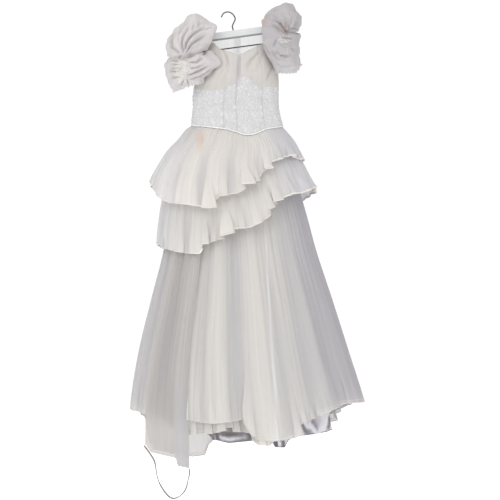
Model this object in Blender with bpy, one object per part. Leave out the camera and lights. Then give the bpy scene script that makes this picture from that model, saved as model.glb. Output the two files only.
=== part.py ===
"""A wedding dress on a white hanger, each piece as its maker would cut and sew it.

Metres, +Z up. The front faces -Y, and the wearer's right is towards -X. The origin is the inside of the
hook's crown, where the hanger hangs. Every size and table below is in millimetres.

A ring around the body is written by angle: 0 is the wearer's left side (+X), 90 the centre front (-Y),
180 the wearer's right side and 270 the centre back.
"""
import functools
import math

import bmesh
import bpy
from mathutils import Vector

MM = 0.001
WALL = 1.5  # thickness of the cloth
SEAM = 0.3  # space between pieces at a seam
WAIST_GAP = 1.0  # space under the piping between the midriff and what is gathered to it
LAYER = 2.0  # step from one gathered layer to the next at the waist

# Hanger
BAR_LENGTH = 400.0
BAR_DEPTH = 16.0
BAR_HEIGHT = 29.5
BAR_EDGE = 2.0
BAR_CENTRE = Vector((20.0, 0.0, -78.8))
BAR_TILT = math.radians(7.7)
WIRE_RADIUS = 1.75
ROD_RADIUS = 2.4
ROD_DROP = 33.0  # rod's centre below the bar's lower face
ROD_HALF = 184.0
# Route of the hook's wire in the plane of the hanger: across, up
HOOK_ROUTE = ((-24, -17), (-17, -4), (-7, 1.2), (5, 1.4), (18, -7), (26, -23), (20, -38), (15.5, -50), (19, -63.5))

# Outline of the bodice. Columns: height, right side, left side, front depth, back depth
BODY = (
    (-446, -133, 198, 58, 52),
    (-412, -133, 198, 58, 52),
    (-344, -127, 184, 61, 52),
    (-286, -125, 182, 74, 52),
    (-243, -118, 183, 88, 50),
    (-207, -108, 178, 86, 48),
    (-171, -96, 166, 74, 46),
    (-135, -88, 156, 58, 44),
    (-110, -84, 152, 46, 42),
    (-85, -82, 150, 38, 40),
    (-60, -82, 150, 34, 40),
)
# Half opening of each armhole around the side. Columns: height, degrees
ARMHOLE_RIGHT = ((-272, 0), (-250, 9), (-210, 21), (-171, 27), (-135, 24), (-110, 14), (-60, 14))
ARMHOLE_LEFT = ((-221, 0), (-200, 11), (-171, 23), (-135, 24), (-110, 14), (-60, 14))

# Edges drawn across the bodice. Columns: across, height
NECK_FRONT = ((-84, -108), (-52, -110), (-27, -135), (11, -144), (38, -156), (71, -139), (119, -115), (152, -109))
NECK_BACK = ((-84, -98), (-52, -94), (32, -83), (119, -72), (152, -68))
LACE_TOP_FRONT = ((-126, -274), (-61, -283), (-14, -279), (-5, -268), (29, -260), (43, -236), (61, -232), (79, -245), (113, -268), (184, -270))
LACE_TOP_BACK = ((-126, -274), (184, -270))
WAIST_FRONT = ((-133, -409), (-94, -412), (-47, -418), (0, -424), (32, -434), (58, -443), (90, -443), (113, -434), (140, -422), (198, -413))
WAIST_BACK = ((-133, -409), (198, -413))
# Seams of the bodice, in degrees
CENTRE_FRONT = 90.0
PRINCESS_RIGHT = 107.0
PRINCESS_LEFT = 52.0
BACK_SEAM_RIGHT = 228.0
BACK_SEAM_LEFT = 312.0
CENTRE_BACK = 270.0
PLACKET_WIDTH = 24.0
PIPING_HEIGHT = 7.0

# Outlines of the tubes that hang from the waist.
# Columns: drop below the waist, right side, left side, front depth, back depth
UPPER_FLOUNCE = (
    (0, -133, 198, 58, 52),
    (11, -151, 209, 68, 60),
    (47, -180, 238, 93, 80),
    (83, -216, 256, 118, 99),
    (119, -241, 272, 138, 116),
    (155, -262, 296, 154, 130),
    (191, -280, 318, 168, 142),
    (299, -306, 366, 194, 166),
)
LOWER_FLOUNCE = (
    (0, -133, 198, 58, 52),
    (47, -160, 221, 75, 64),
    (119, -196, 268, 106, 88),
    (191, -220, 304, 133, 110),
    (263, -237, 345, 154, 128),
    (371, -252, 386, 176, 148),
    (443, -256, 402, 186, 158),
)
SKIRT = (
    (0, -133, 198, 58, 52),
    (47, -150, 208, 66, 58),
    (119, -178, 232, 84, 74),
    (191, -200, 252, 102, 90),
    (263, -211, 271, 118, 104),
    (335, -217, 290, 132, 118),
    (443, -230, 318, 150, 136),
    (623, -274, 378, 176, 160),
    (803, -317, 436, 200, 182),
    (983, -347, 494, 218, 198),
    (1091, -352, 520, 226, 206),
    (1240, -354, 536, 232, 212),
)
LINING = (
    (0, -133, 198, 58, 52),
    (119, -136, 212, 72, 62),
    (443, -128, 262, 102, 90),
    (803, -106, 326, 122, 108),
    (1180, -76, 386, 138, 124),
)

# Hems drawn across the dress, one for its front and one for its back. Columns: across, height
UPPER_HEM_FRONT = ((-282, -610), (-266, -643), (-238, -676), (-212, -687), (-142, -694), (-107, -700), (-72, -707), (-47, -695), (-38, -666), (-12, -662), (39, -652), (50, -622), (89, -616), (115, -606), (124, -572), (150, -562), (158, -542), (198, -524), (229, -517), (256, -532), (272, -527))
UPPER_HEM_BACK = ((-282, -610), (-259, -646), (-209, -675), (-101, -693), (43, -675), (151, -632), (223, -574), (272, -527))
LOWER_HEM_FRONT = ((-256, -833), (-236, -848), (-191, -860), (-147, -868), (-105, -870), (-95, -836), (-55, -829), (-16, -809), (6, -787), (32, -778), (67, -779), (97, -770), (141, -743), (152, -705), (185, -677), (233, -655), (268, -652), (320, -630))
LOWER_HEM_BACK = ((-256, -833), (-209, -851), (-101, -848), (43, -812), (187, -740), (277, -675), (320, -630))
OUTER_HEM_FRONT = ((-349, -1427), (-292, -1442), (-209, -1453), (-130, -1463), (-68, -1474), (-22, -1471), (14, -1467), (78, -1453), (92, -1519), (108, -1530), (151, -1537), (205, -1532), (244, -1523), (258, -1480), (270, -1471), (313, -1453), (349, -1437), (378, -1424), (418, -1404), (497, -1402))
OUTER_HEM_BACK = ((-349, -1427), (-302, -1440), (-288, -1540), (-274, -1575), (-184, -1594), (-130, -1606), (-85, -1600), (-62, -1539), (79, -1526), (259, -1505), (367, -1483), (392, -1468), (405, -1440), (425, -1412), (497, -1402))
UNDER_HEM_FRONT = ((-342, -1406), (-281, -1438), (-144, -1514), (-68, -1510), (-22, -1503), (7, -1487), (22, -1503), (65, -1505), (84, -1510), (101, -1548), (151, -1553), (166, -1535), (241, -1517), (262, -1467), (313, -1440), (378, -1412), (482, -1388))
UNDER_HEM_BACK = ((-342, -1406), (-281, -1485), (-101, -1520), (79, -1506), (367, -1455), (482, -1388))
LINING_HEM_FRONT = ((-76, -1517), (-47, -1537), (7, -1546), (101, -1536), (155, -1536), (170, -1560), (203, -1561), (216, -1535), (248, -1522), (330, -1513), (384, -1500))
LINING_HEM_BACK = ((-76, -1517), (7, -1532), (151, -1532), (384, -1500))
TRAIN_HEM = ((-292, -1553), (-274, -1579), (-227, -1589), (-184, -1597), (-177, -1624), (-133, -1633))
TRAIN_FROM = 120.0
TRAIN_TO = 148.4

# Folds. Columns: angle, half width in degrees, rise (a trough is negative), drop where it starts, drop where it is full
SKIRT_FOLDS = (
    (9, 9, -9, 150, 800),
    (24, 9, 9, 200, 900),
    (38, 9, -12, 120, 800),
    (48, 8, 9, 200, 900),
    (57, 8, -11, 150, 900),
    (70, 8, -12, 100, 800),
    (78.5, 6, 11, 60, 700),
    (94, 9, -15, 60, 700),
    (104, 8, 9, 100, 800),
    (115, 8, -14, 60, 700),
    (124.5, 7, 8, 200, 900),
    (138, 8, -9, 100, 800),
    (148, 7, 6, 200, 900),
    (158, 9, -8, 150, 800),
    (172, 9, 6, 200, 900),
    (192, 10, -10, 100, 800),
    (207, 9, 9, 200, 900),
    (222, 10, -13, 80, 700),
    (238, 9, 10, 150, 800),
    (252, 9, -12, 60, 800),
    (266, 9, 11, 200, 900),
    (281, 10, -14, 100, 700),
    (296, 9, 9, 200, 900),
    (310, 9, -11, 60, 800),
    (326, 10, 10, 150, 800),
    (344, 10, -10, 100, 800),
)
LINING_FOLDS = (
    (40, 16, -12, 200, 1100),
    (62, 12, 10, 300, 1100),
    (78.5, 9, 12, 300, 1100),
    (100, 14, -10, 300, 1100),
    (150, 20, -8, 300, 1100),
    (230, 20, -12, 200, 1100),
    (290, 20, -10, 200, 1100),
)
UPPER_FOLDS = (
    (4, 9, 6, 20, 130),
    (17, 8, -8, 20, 130),
    (31, 8, 8, 20, 130),
    (44, 8, -9, 20, 140),
    (56, 8, 9, 20, 150),
    (68, 7, -9, 20, 160),
    (79, 7, 10, 20, 180),
    (91, 8, -9, 20, 200),
    (103, 7, 9, 20, 200),
    (113, 7, -10, 20, 220),
    (123, 7, 9, 20, 220),
    (135, 8, -7, 20, 220),
    (149, 9, 6, 20, 200),
    (165, 9, -7, 20, 180),
    (197, 10, -8, 20, 180),
    (214, 9, 9, 20, 200),
    (231, 10, -9, 20, 220),
    (247, 9, 9, 20, 220),
    (264, 10, -10, 20, 200),
    (281, 10, 9, 20, 200),
    (298, 9, -9, 20, 180),
    (315, 10, 8, 20, 160),
    (334, 10, -8, 20, 140),
)
LOWER_FOLDS = (
    (2, 9, 5, 150, 260),
    (15, 8, -9, 150, 280),
    (28, 8, 9, 150, 280),
    (41, 8, -10, 150, 300),
    (54, 8, 9, 150, 300),
    (66, 8, -10, 160, 320),
    (78, 8, 10, 180, 340),
    (90, 8, -10, 200, 360),
    (101, 7, 9, 220, 380),
    (112, 8, -10, 240, 400),
    (123, 7, 9, 250, 420),
    (134, 8, -8, 250, 420),
    (147, 9, 7, 250, 420),
    (163, 9, -6, 250, 420),
    (199, 10, -8, 240, 400),
    (217, 10, 9, 240, 400),
    (235, 10, -10, 220, 380),
    (253, 10, 9, 200, 360),
    (271, 10, -10, 200, 360),
    (289, 10, 9, 180, 340),
    (307, 10, -9, 160, 300),
    (326, 10, 8, 150, 280),
    (344, 9, -7, 150, 260),
)
STRIP_FOLD = ((125.0, 7.5, 8.0, 300, 700),)

# Puffs of the sleeves, from the top down. The near side faces the neck.
# Columns: height, far side, near side, front depth, back depth, rise towards +X, dip of the front
SLEEVE_RIGHT_UPPER = (
    (-7, -136, -102, 16, 14, 0.0, 0),
    (-16, -146, -88, 30, 26, 0.0, 0),
    (-31, -157, -68, 46, 40, 0.0, 0),
    (-49, -182, -43, 64, 55, 0.0, 0),
    (-67, -196, -43, 76, 64, 0.0, 0),
    (-88, -212, -50, 84, 70, 0.0, 0),
    (-110, -220, -54, 88, 73, 0.0, 0),
    (-134.3, -221, -64, 84, 70, 0.0, 0),
)
SLEEVE_RIGHT_LOWER = (
    (-135, -204, -80, 68, 56, 0.0, 0),
    (-147, -216, -54, 84, 64, 0.0, 0),
    (-167, -221, -36, 99, 70, 0.0, 0),
    (-189, -227, -27, 108, 74, 0.02, 0),
    (-209, -225, -40, 110, 74, 0.08, 0),
    (-227, -217, -64, 102, 68, 0.2, 0),
    (-244, -207, -82, 92, 60, 0.33, 0),
    (-264, -194, -90, 84, 52, 0.42, 0),
)
SLEEVE_LEFT_UPPER = (
    (31, 234, 204, 14, 12, 0.0, 0),
    (20, 241, 168, 36, 32, 0.0, 0),
    (5, 248, 146, 54, 48, 0.0, 0),
    (-13, 266, 131, 66, 58, 0.0, 0),
    (-31, 268, 123, 74, 64, 0.0, 0),
    (-49, 261, 122, 78, 66, 0.0, 0),
    (-67, 255, 128, 76, 66, 0.0, 0),
    (-81.3, 250, 136, 72, 63, 0.0, 0),
)
SLEEVE_LEFT_LOWER = (
    (-82, 240, 150, 58, 52, 0.0, 0),
    (-92, 258, 130, 72, 63, 0.0, 0),
    (-106, 259, 123, 80, 66, 0.0, 0),
    (-128, 256, 126, 86, 68, 0.0, 0),
    (-149, 255, 133, 86, 68, 0.0, 0),
    (-169, 257, 148, 82, 62, 0.0, 4),
    (-184, 259, 163, 78, 56, 0.0, 14),
    (-191, 262, 173, 72, 50, 0.0, 30),
)
PUFF_COLUMNS = 20
PUFF_FOLDS = 5
PUFF_FOLD_RISE = 6.0
ARMHOLE_CLEARANCE = 1.4  # from the bodice's edge out to the outer face of the sleeve's edge

BINDING_HEIGHT = 9.0
BINDING_PROUD = 0.5
RIBBON_RADIUS = 2.0
# Route of the ribbon loop between its two sewn ends. Columns: across, height
RIBBON_ROUTE = ((-287, -1571), (-275, -1588), (-262, -1610), (-257, -1636), (-253, -1661), (-243, -1690), (-220, -1725), (-198, -1741), (-177, -1736), (-159, -1721), (-148, -1702), (-141, -1673), (-136, -1652))

RING_COLUMNS = 76


def straight(rows, key):
    """Height at a place across, along the straight runs of a table of points."""
    if key <= rows[0][0]:
        return rows[0][1]
    for low, high in zip(rows, rows[1:]):
        if key <= high[0]:
            share = (key - low[0]) / (high[0] - low[0])
            return low[1] + (high[1] - low[1]) * share
    return rows[-1][1]


def smooth(rows, key):
    """All columns of a table at a key between its rows, on a curve through the rows."""
    if key <= rows[0][0]:
        return rows[0][1:]
    if key >= rows[-1][0]:
        return rows[-1][1:]
    index = max(i for i, row in enumerate(rows) if row[0] <= key)
    before = rows[max(index - 1, 0)]
    low = rows[index]
    high = rows[index + 1]
    after = rows[min(index + 2, len(rows) - 1)]
    span = high[0] - low[0]
    t = (key - low[0]) / span
    values = []
    for column in range(1, len(low)):
        slope_low = (high[column] - before[column]) / (high[0] - before[0]) * span
        slope_high = (after[column] - low[column]) / (after[0] - low[0]) * span
        values.append(
            (2 * t**3 - 3 * t**2 + 1) * low[column]
            + (t**3 - 2 * t**2 + t) * slope_low
            + (3 * t**2 - 2 * t**3) * high[column]
            + (t**3 - t**2) * slope_high
        )
    return values


def ease(value):
    """0 to 1 with soft ends."""
    value = min(max(value, 0.0), 1.0)
    return value * value * (3 - 2 * value)


def ring_point(section, degrees, out):
    """Place in plan on a ring with its own front and back depth, moved out along its normal."""
    right, left, front, back = section
    angle = math.radians(degrees)
    half = (left - right) / 2
    depth = front if math.sin(angle) > 0 else back
    normal = Vector((math.cos(angle) / half, -math.sin(angle) / depth)).normalized()
    x = (left + right) / 2 + half * math.cos(angle) + normal.x * out
    y = -depth * math.sin(angle) + normal.y * out
    return x, y


def body_point(degrees, height, out=0.0):
    x, y = ring_point(smooth(BODY, height), degrees, out)
    return Vector((x, y, height))


def arc_step(degrees, height):
    """Length along the body's ring for one degree."""
    return (body_point(degrees + 1, height) - body_point(degrees - 1, height)).length / 2


def is_front(degrees):
    return math.sin(math.radians(degrees)) > 0


def edge_height(front_rows, back_rows, degrees, start, step):
    """Height where a line up or down the body at an angle meets an edge that is drawn across it."""
    rows = front_rows if is_front(degrees) else back_rows
    height = start
    while abs(step) > 0.05:
        while (straight(rows, body_point(degrees, height).x) - height) * step > 0:
            height += step
        height -= step
        step /= 4
    return height


@functools.lru_cache(maxsize=None)
def lace_top(degrees):
    return edge_height(LACE_TOP_FRONT, LACE_TOP_BACK, degrees, -320.0, 8.0)


@functools.lru_cache(maxsize=None)
def neck(degrees):
    return edge_height(NECK_FRONT, NECK_BACK, degrees, -200.0, 8.0)


@functools.lru_cache(maxsize=None)
def waist(degrees):
    return edge_height(WAIST_FRONT, WAIST_BACK, degrees, -380.0, -8.0)


def armhole_right(height):
    return straight(ARMHOLE_RIGHT, height)


def armhole_left(height):
    return straight(ARMHOLE_LEFT, height)


def finish(name, colour, roughness, metallic=0.0):
    material = bpy.data.materials.new(name)
    material.use_nodes = True
    shader = material.node_tree.nodes["Principled BSDF"]
    shader.inputs["Base Color"].default_value = (*colour, 1.0)
    shader.inputs["Roughness"].default_value = roughness
    shader.inputs["Metallic"].default_value = metallic
    return material


def add_object(name, mesh, material):
    piece = bpy.data.objects.new(name, mesh)
    piece.data.materials.append(material)
    bpy.context.collection.objects.link(piece)
    return piece


def inner_face(grid, wall=WALL):
    """The inner face of an open sheet, one wall's thickness behind its outer face."""
    rows = len(grid)
    columns = len(grid[0])
    inner = []
    for row in range(rows):
        line = []
        for column in range(columns):
            along = grid[row][min(column + 1, columns - 1)] - grid[row][max(column - 1, 0)]
            down = grid[min(row + 1, rows - 1)][column] - grid[max(row - 1, 0)][column]
            line.append(grid[row][column] - along.cross(down).normalized() * wall)
        inner.append(line)
    return inner


def sheet(name, outer_grid, inner_grid, material, closed=False):
    """A cloth wall between two grids of points, rows downwards and columns by rising angle."""
    mesh = bmesh.new()
    outer = [[mesh.verts.new(point * MM) for point in line] for line in outer_grid]
    inner = [[mesh.verts.new(point * MM) for point in line] for line in inner_grid]
    rows = len(outer)
    columns = len(outer[0])
    spans = columns if closed else columns - 1
    for row in range(rows - 1):
        for column in range(spans):
            after = (column + 1) % columns
            for face in (outer, inner):
                a = face[row][column]
                b = face[row][after]
                c = face[row + 1][after]
                d = face[row + 1][column]
                mesh.faces.new((a, b, c))
                mesh.faces.new((a, c, d))
    rims = [(outer[0], inner[0], closed), (outer[-1], inner[-1], closed)]
    if not closed:
        for column in (0, columns - 1):
            rims.append(([line[column] for line in outer], [line[column] for line in inner], False))
    for front, back, round_rim in rims:
        for index in range(len(front) if round_rim else len(front) - 1):
            after = (index + 1) % len(front)
            mesh.faces.new((front[index], front[after], back[after]))
            mesh.faces.new((front[index], back[after], back[index]))
    bmesh.ops.recalc_face_normals(mesh, faces=mesh.faces)
    data = bpy.data.meshes.new(name)
    mesh.to_mesh(data)
    mesh.free()
    data.shade_smooth()
    return add_object(name, data, material)


def panel(name, material, start, end, top, bottom, columns, rows, out=0.0, wall=WALL):
    """A bodice panel between two seams, which may each be an angle or a function of height."""
    outer = []
    inner = []
    for row in range(rows):
        outer_line = []
        inner_line = []
        for column in range(columns):
            share = column / (columns - 1)
            height = -250.0
            for _ in range(8):
                first = start(height) if callable(start) else start
                last = end(height) if callable(end) else end
                degrees = first + (last - first) * share
                high = top(degrees) - SEAM / 2
                low = bottom(degrees) + SEAM / 2
                height = high + (low - high) * row / (rows - 1)
            trim = SEAM / 2 / arc_step(degrees, height) * (1 - 2 * share)
            outer_line.append(body_point(degrees + trim, height, out))
            inner_line.append(body_point(degrees + trim, height, out - wall))
        outer.append(outer_line)
        inner.append(inner_line)
    return sheet(name, outer, inner, material)


class Tube:
    """One layer of cloth that hangs from the waist."""

    def __init__(self, sections, folds, hem_front, hem_back, inset_waist, inset_hem):
        self.sections = sections
        self.folds = folds
        self.hem_front = hem_front
        self.hem_back = hem_back
        self.inset_waist = inset_waist
        self.inset_hem = inset_hem

    def point(self, degrees, drop, out=0.0):
        rise = 0.0
        for angle, half_width, height, start, full in self.folds:
            away = abs((degrees - angle + 180) % 360 - 180) / half_width
            if away < 1:
                rise += height * math.cos(away * math.pi / 2) ** 2 * ease((drop - start) / (full - start))
        inset = self.inset_waist + (self.inset_hem - self.inset_waist) * ease(drop / 450)
        x, y = ring_point(smooth(self.sections, drop), degrees, rise - inset + out)
        return Vector((x, y, waist(degrees) - WAIST_GAP - drop))

    def hem(self, degrees):
        """Drop at which the line down the layer at an angle meets its hem."""
        rows = self.hem_front if is_front(degrees) else self.hem_back
        drop = 20.0
        step = 16.0
        while step > 0.2:
            point = self.point(degrees, drop)
            while point.z > straight(rows, point.x):
                drop += step
                point = self.point(degrees, drop)
            drop -= step
            step /= 4
        return drop


def even_columns(count):
    """Angles that lie closer together at the front and back, where the ring runs straighter."""
    turns = [2 * math.pi * index / count for index in range(count)]
    return [math.degrees(turn + 0.15 * math.sin(2 * turn)) for turn in turns]


def hang(name, material, tube, columns, levels, parts, closed, binding=None):
    """A layer from the waist to its hem, and its satin binding below it.

    Its first rows lie at set drops, which layers share so that they stay apart, and the last rows part what
    is left above the hem evenly.
    """
    hems = [tube.hem(degrees) for degrees in columns]
    room = BINDING_HEIGHT + SEAM if binding else 0.0
    drops = [[level for _ in hems] for level in levels]
    for part in range(1, parts + 1):
        drops.append([levels[-1] + (hem - room - levels[-1]) * part / parts for hem in hems])
    outer = [[tube.point(degrees, drop) for degrees, drop in zip(columns, row)] for row in drops]
    inner = [[tube.point(degrees, drop, -WALL) for degrees, drop in zip(columns, row)] for row in drops]
    sheet(name, outer, inner, material, closed)
    if binding:
        edges = ([hem - BINDING_HEIGHT for hem in hems], hems)
        outer = [[tube.point(degrees, drop, BINDING_PROUD) for degrees, drop in zip(columns, row)] for row in edges]
        back = -WALL - BINDING_PROUD
        inner = [[tube.point(degrees, drop, back) for degrees, drop in zip(columns, row)] for row in edges]
        sheet(name + "_binding", outer, inner, binding, closed)


def bar_top(across):
    """Height of the bar's upper face."""
    return BAR_CENTRE.z + (across - BAR_CENTRE.x) * math.tan(BAR_TILT) + BAR_HEIGHT / 2 / math.cos(BAR_TILT)


def curve_through(points, spacing):
    """Points at even steps on a smooth curve through a route."""
    path = [Vector(point) for point in points]
    fine = []
    for index in range(len(path) - 1):
        before = path[max(index - 1, 0)]
        low = path[index]
        high = path[index + 1]
        after = path[min(index + 2, len(path) - 1)]
        for part in range(24):
            t = part / 24
            fine.append(
                (low * 2 + (high - before) * t + (before * 2 - low * 5 + high * 4 - after) * t**2
                 + (low * 3 - before - high * 3 + after) * t**3) / 2
            )
    fine.append(path[-1])
    chosen = [fine[0]]
    for point in fine[1:]:
        if (point - chosen[-1]).length >= spacing:
            chosen.append(point)
    if (chosen[-1] - path[-1]).length < spacing / 2:
        chosen.pop()
    return chosen + [path[-1]]


def round_wire(name, route, radius, material, sides=3):
    """A round wire or cord along a route, with closed ends."""
    curve = bpy.data.curves.new(name, "CURVE")
    curve.dimensions = "3D"
    curve.bevel_depth = radius * MM
    curve.bevel_resolution = sides
    curve.use_fill_caps = True
    spline = curve.splines.new("POLY")
    spline.points.add(len(route) - 1)
    for point, place in zip(spline.points, route):
        point.co = (*(place * MM), 1.0)
    return add_object(name, curve, material)


def build_hanger(white_wood, chrome, dark_metal):
    mesh = bmesh.new()
    bmesh.ops.create_cube(mesh, size=1.0)
    for vert in mesh.verts:
        vert.co = Vector((vert.co.x * BAR_LENGTH, vert.co.y * BAR_DEPTH, vert.co.z * BAR_HEIGHT)) * MM
    bmesh.ops.bevel(mesh, geom=mesh.edges[:], offset=BAR_EDGE * MM, segments=1, affect="EDGES")
    data = bpy.data.meshes.new("hanger_bar")
    mesh.to_mesh(data)
    mesh.free()
    bar = add_object("hanger_bar", data, white_wood)
    bar.location = BAR_CENTRE * MM
    bar.rotation_euler = (0.0, -BAR_TILT, 0.0)

    hook = [(across, 0.0, up) for across, up in HOOK_ROUTE]
    round_wire("hanger_hook", curve_through(hook, 5.0), WIRE_RADIUS, chrome, 2)

    along_bar = Vector((math.cos(BAR_TILT), 0.0, math.sin(BAR_TILT)))
    down = Vector((math.sin(BAR_TILT), 0.0, -math.cos(BAR_TILT)))
    start_drop = BAR_HEIGHT / 2 + SEAM
    rod_drop = BAR_HEIGHT / 2 + ROD_DROP
    bend = 8.0
    rod = []
    for side in (-1, 1):
        leg = [
            BAR_CENTRE + along_bar * side * ROD_HALF + down * start_drop,
            BAR_CENTRE + along_bar * side * ROD_HALF + down * (rod_drop - bend),
            BAR_CENTRE + along_bar * side * (ROD_HALF - 2.4) + down * (rod_drop - 2.4),
            BAR_CENTRE + along_bar * side * (ROD_HALF - bend) + down * rod_drop,
        ]
        rod += leg if side < 0 else leg[::-1]
    round_wire("hanger_rod", rod, ROD_RADIUS, dark_metal, 2)


def build_bodice(lace, chiffon, satin):
    def under_right(height):
        return 180.0 - armhole_right(height)

    def behind_right(height):
        return 180.0 + armhole_right(height)

    def under_left(height):
        return armhole_left(height)

    def behind_left(height):
        return 360.0 - armhole_left(height)

    midriff = (
        ("midriff_side_front_left", 0.0, PRINCESS_LEFT, 6),
        ("midriff_front_left", PRINCESS_LEFT, CENTRE_FRONT, 6),
        ("midriff_front_right", CENTRE_FRONT, PRINCESS_RIGHT, 5),
        ("midriff_side_front_right", PRINCESS_RIGHT, 180.0, 7),
        ("midriff_side_back_right", 180.0, BACK_SEAM_RIGHT, 5),
        ("midriff_back_right", BACK_SEAM_RIGHT, CENTRE_BACK, 4),
        ("midriff_back_left", CENTRE_BACK, BACK_SEAM_LEFT, 4),
        ("midriff_side_back_left", BACK_SEAM_LEFT, 360.0, 5),
    )
    for name, start, end, columns in midriff:
        panel(name, lace, start, end, lace_top, waist, columns, 5)
    yoke = (
        ("yoke_side_front_left", under_left, PRINCESS_LEFT, 6),
        ("yoke_front_left", PRINCESS_LEFT, CENTRE_FRONT, 6),
        ("yoke_front_right", CENTRE_FRONT, PRINCESS_RIGHT, 5),
        ("yoke_side_front_right", PRINCESS_RIGHT, under_right, 7),
        ("yoke_back_right", behind_right, CENTRE_BACK, 7),
        ("yoke_back_left", CENTRE_BACK, behind_left, 7),
    )
    for name, start, end, columns in yoke:
        panel(name, chiffon, start, end, neck, lace_top, columns, 8)

    def placket_edge(side):
        def edge(height):
            return CENTRE_BACK + side * PLACKET_WIDTH / 2 / arc_step(CENTRE_BACK, height)

        return edge

    panel("back_placket", satin, placket_edge(-1), placket_edge(1), neck,
          lambda degrees: waist(degrees) + PIPING_HEIGHT + 2.0, 3, 9, out=2.5, wall=1.6)
    around = even_columns(RING_COLUMNS)
    lifts = (PIPING_HEIGHT, 0.5)
    outer = [[body_point(degrees, waist(degrees) + lift, 2.3) for degrees in around] for lift in lifts]
    inner = [[body_point(degrees, waist(degrees) + lift, 0.5) for degrees in around] for lift in lifts]
    sheet("waist_piping", outer, inner, satin, closed=True)


def build_shoulder(name, material, start, end):
    """The piece that joins front and back yoke over the hanger's bar, between two angles on the neck's edge."""
    half_bar = BAR_DEPTH / 2
    side = half_bar + SEAM + WALL + 0.5
    lanes = []
    for share in (0.0, 0.5, 1.0):
        forward = start + (end - start) * share
        front_foot = body_point(forward, neck(forward) + 2 * SEAM)
        back_foot = body_point(360.0 - forward, neck(360.0 - forward) + 2 * SEAM)
        across = (front_foot.x + back_foot.x) / 2
        top = bar_top(across) + SEAM + WALL + 0.1
        low = top - BAR_HEIGHT + 8.0
        lanes.append((
            front_foot,
            Vector((across, -side - 1.0, max(low, front_foot.z + 9.0))),
            Vector((across, -side, top - 3.5)),
            Vector((across, -half_bar + 1.0, top)),
            Vector((across, half_bar - 1.0, top)),
            Vector((across, side, top - 3.5)),
            Vector((across, side + 1.0, max(low, back_foot.z + 9.0))),
            back_foot,
        ))
    # The rows run from the front foot over the bar, so their columns run towards -X to face outwards
    first_lane = lanes[0]
    lanes.sort(key=lambda lane: -lane[3].x)
    grid = [[lane[row] for lane in lanes] for row in range(len(lanes[0]) - 1, -1, -1)]
    inner = inner_face(grid)
    for row, foot in ((0, 360.0), (-1, 0.0)):
        for column, point in enumerate(grid[row]):
            forward = start + (end - start) * (column if lanes[0] is first_lane else 2 - column) / 2
            degrees = abs(foot - forward)
            inner[row][column] = body_point(degrees, neck(degrees) + 2 * SEAM, -WALL)
    sheet(name, grid, inner, material)


def sleeve_edge(side, height, front):
    """The bodice's armhole edge, which the sleeve's edge follows."""
    opening = armhole_right(height) if side < 0 else armhole_left(height)
    middle = 180.0 if side < 0 else 0.0
    turn = opening if (side > 0) == front else -opening
    place = body_point(middle + turn, min(height, -100.0))
    return Vector((place.x + side * ARMHOLE_CLEARANCE, place.y, height))


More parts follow.
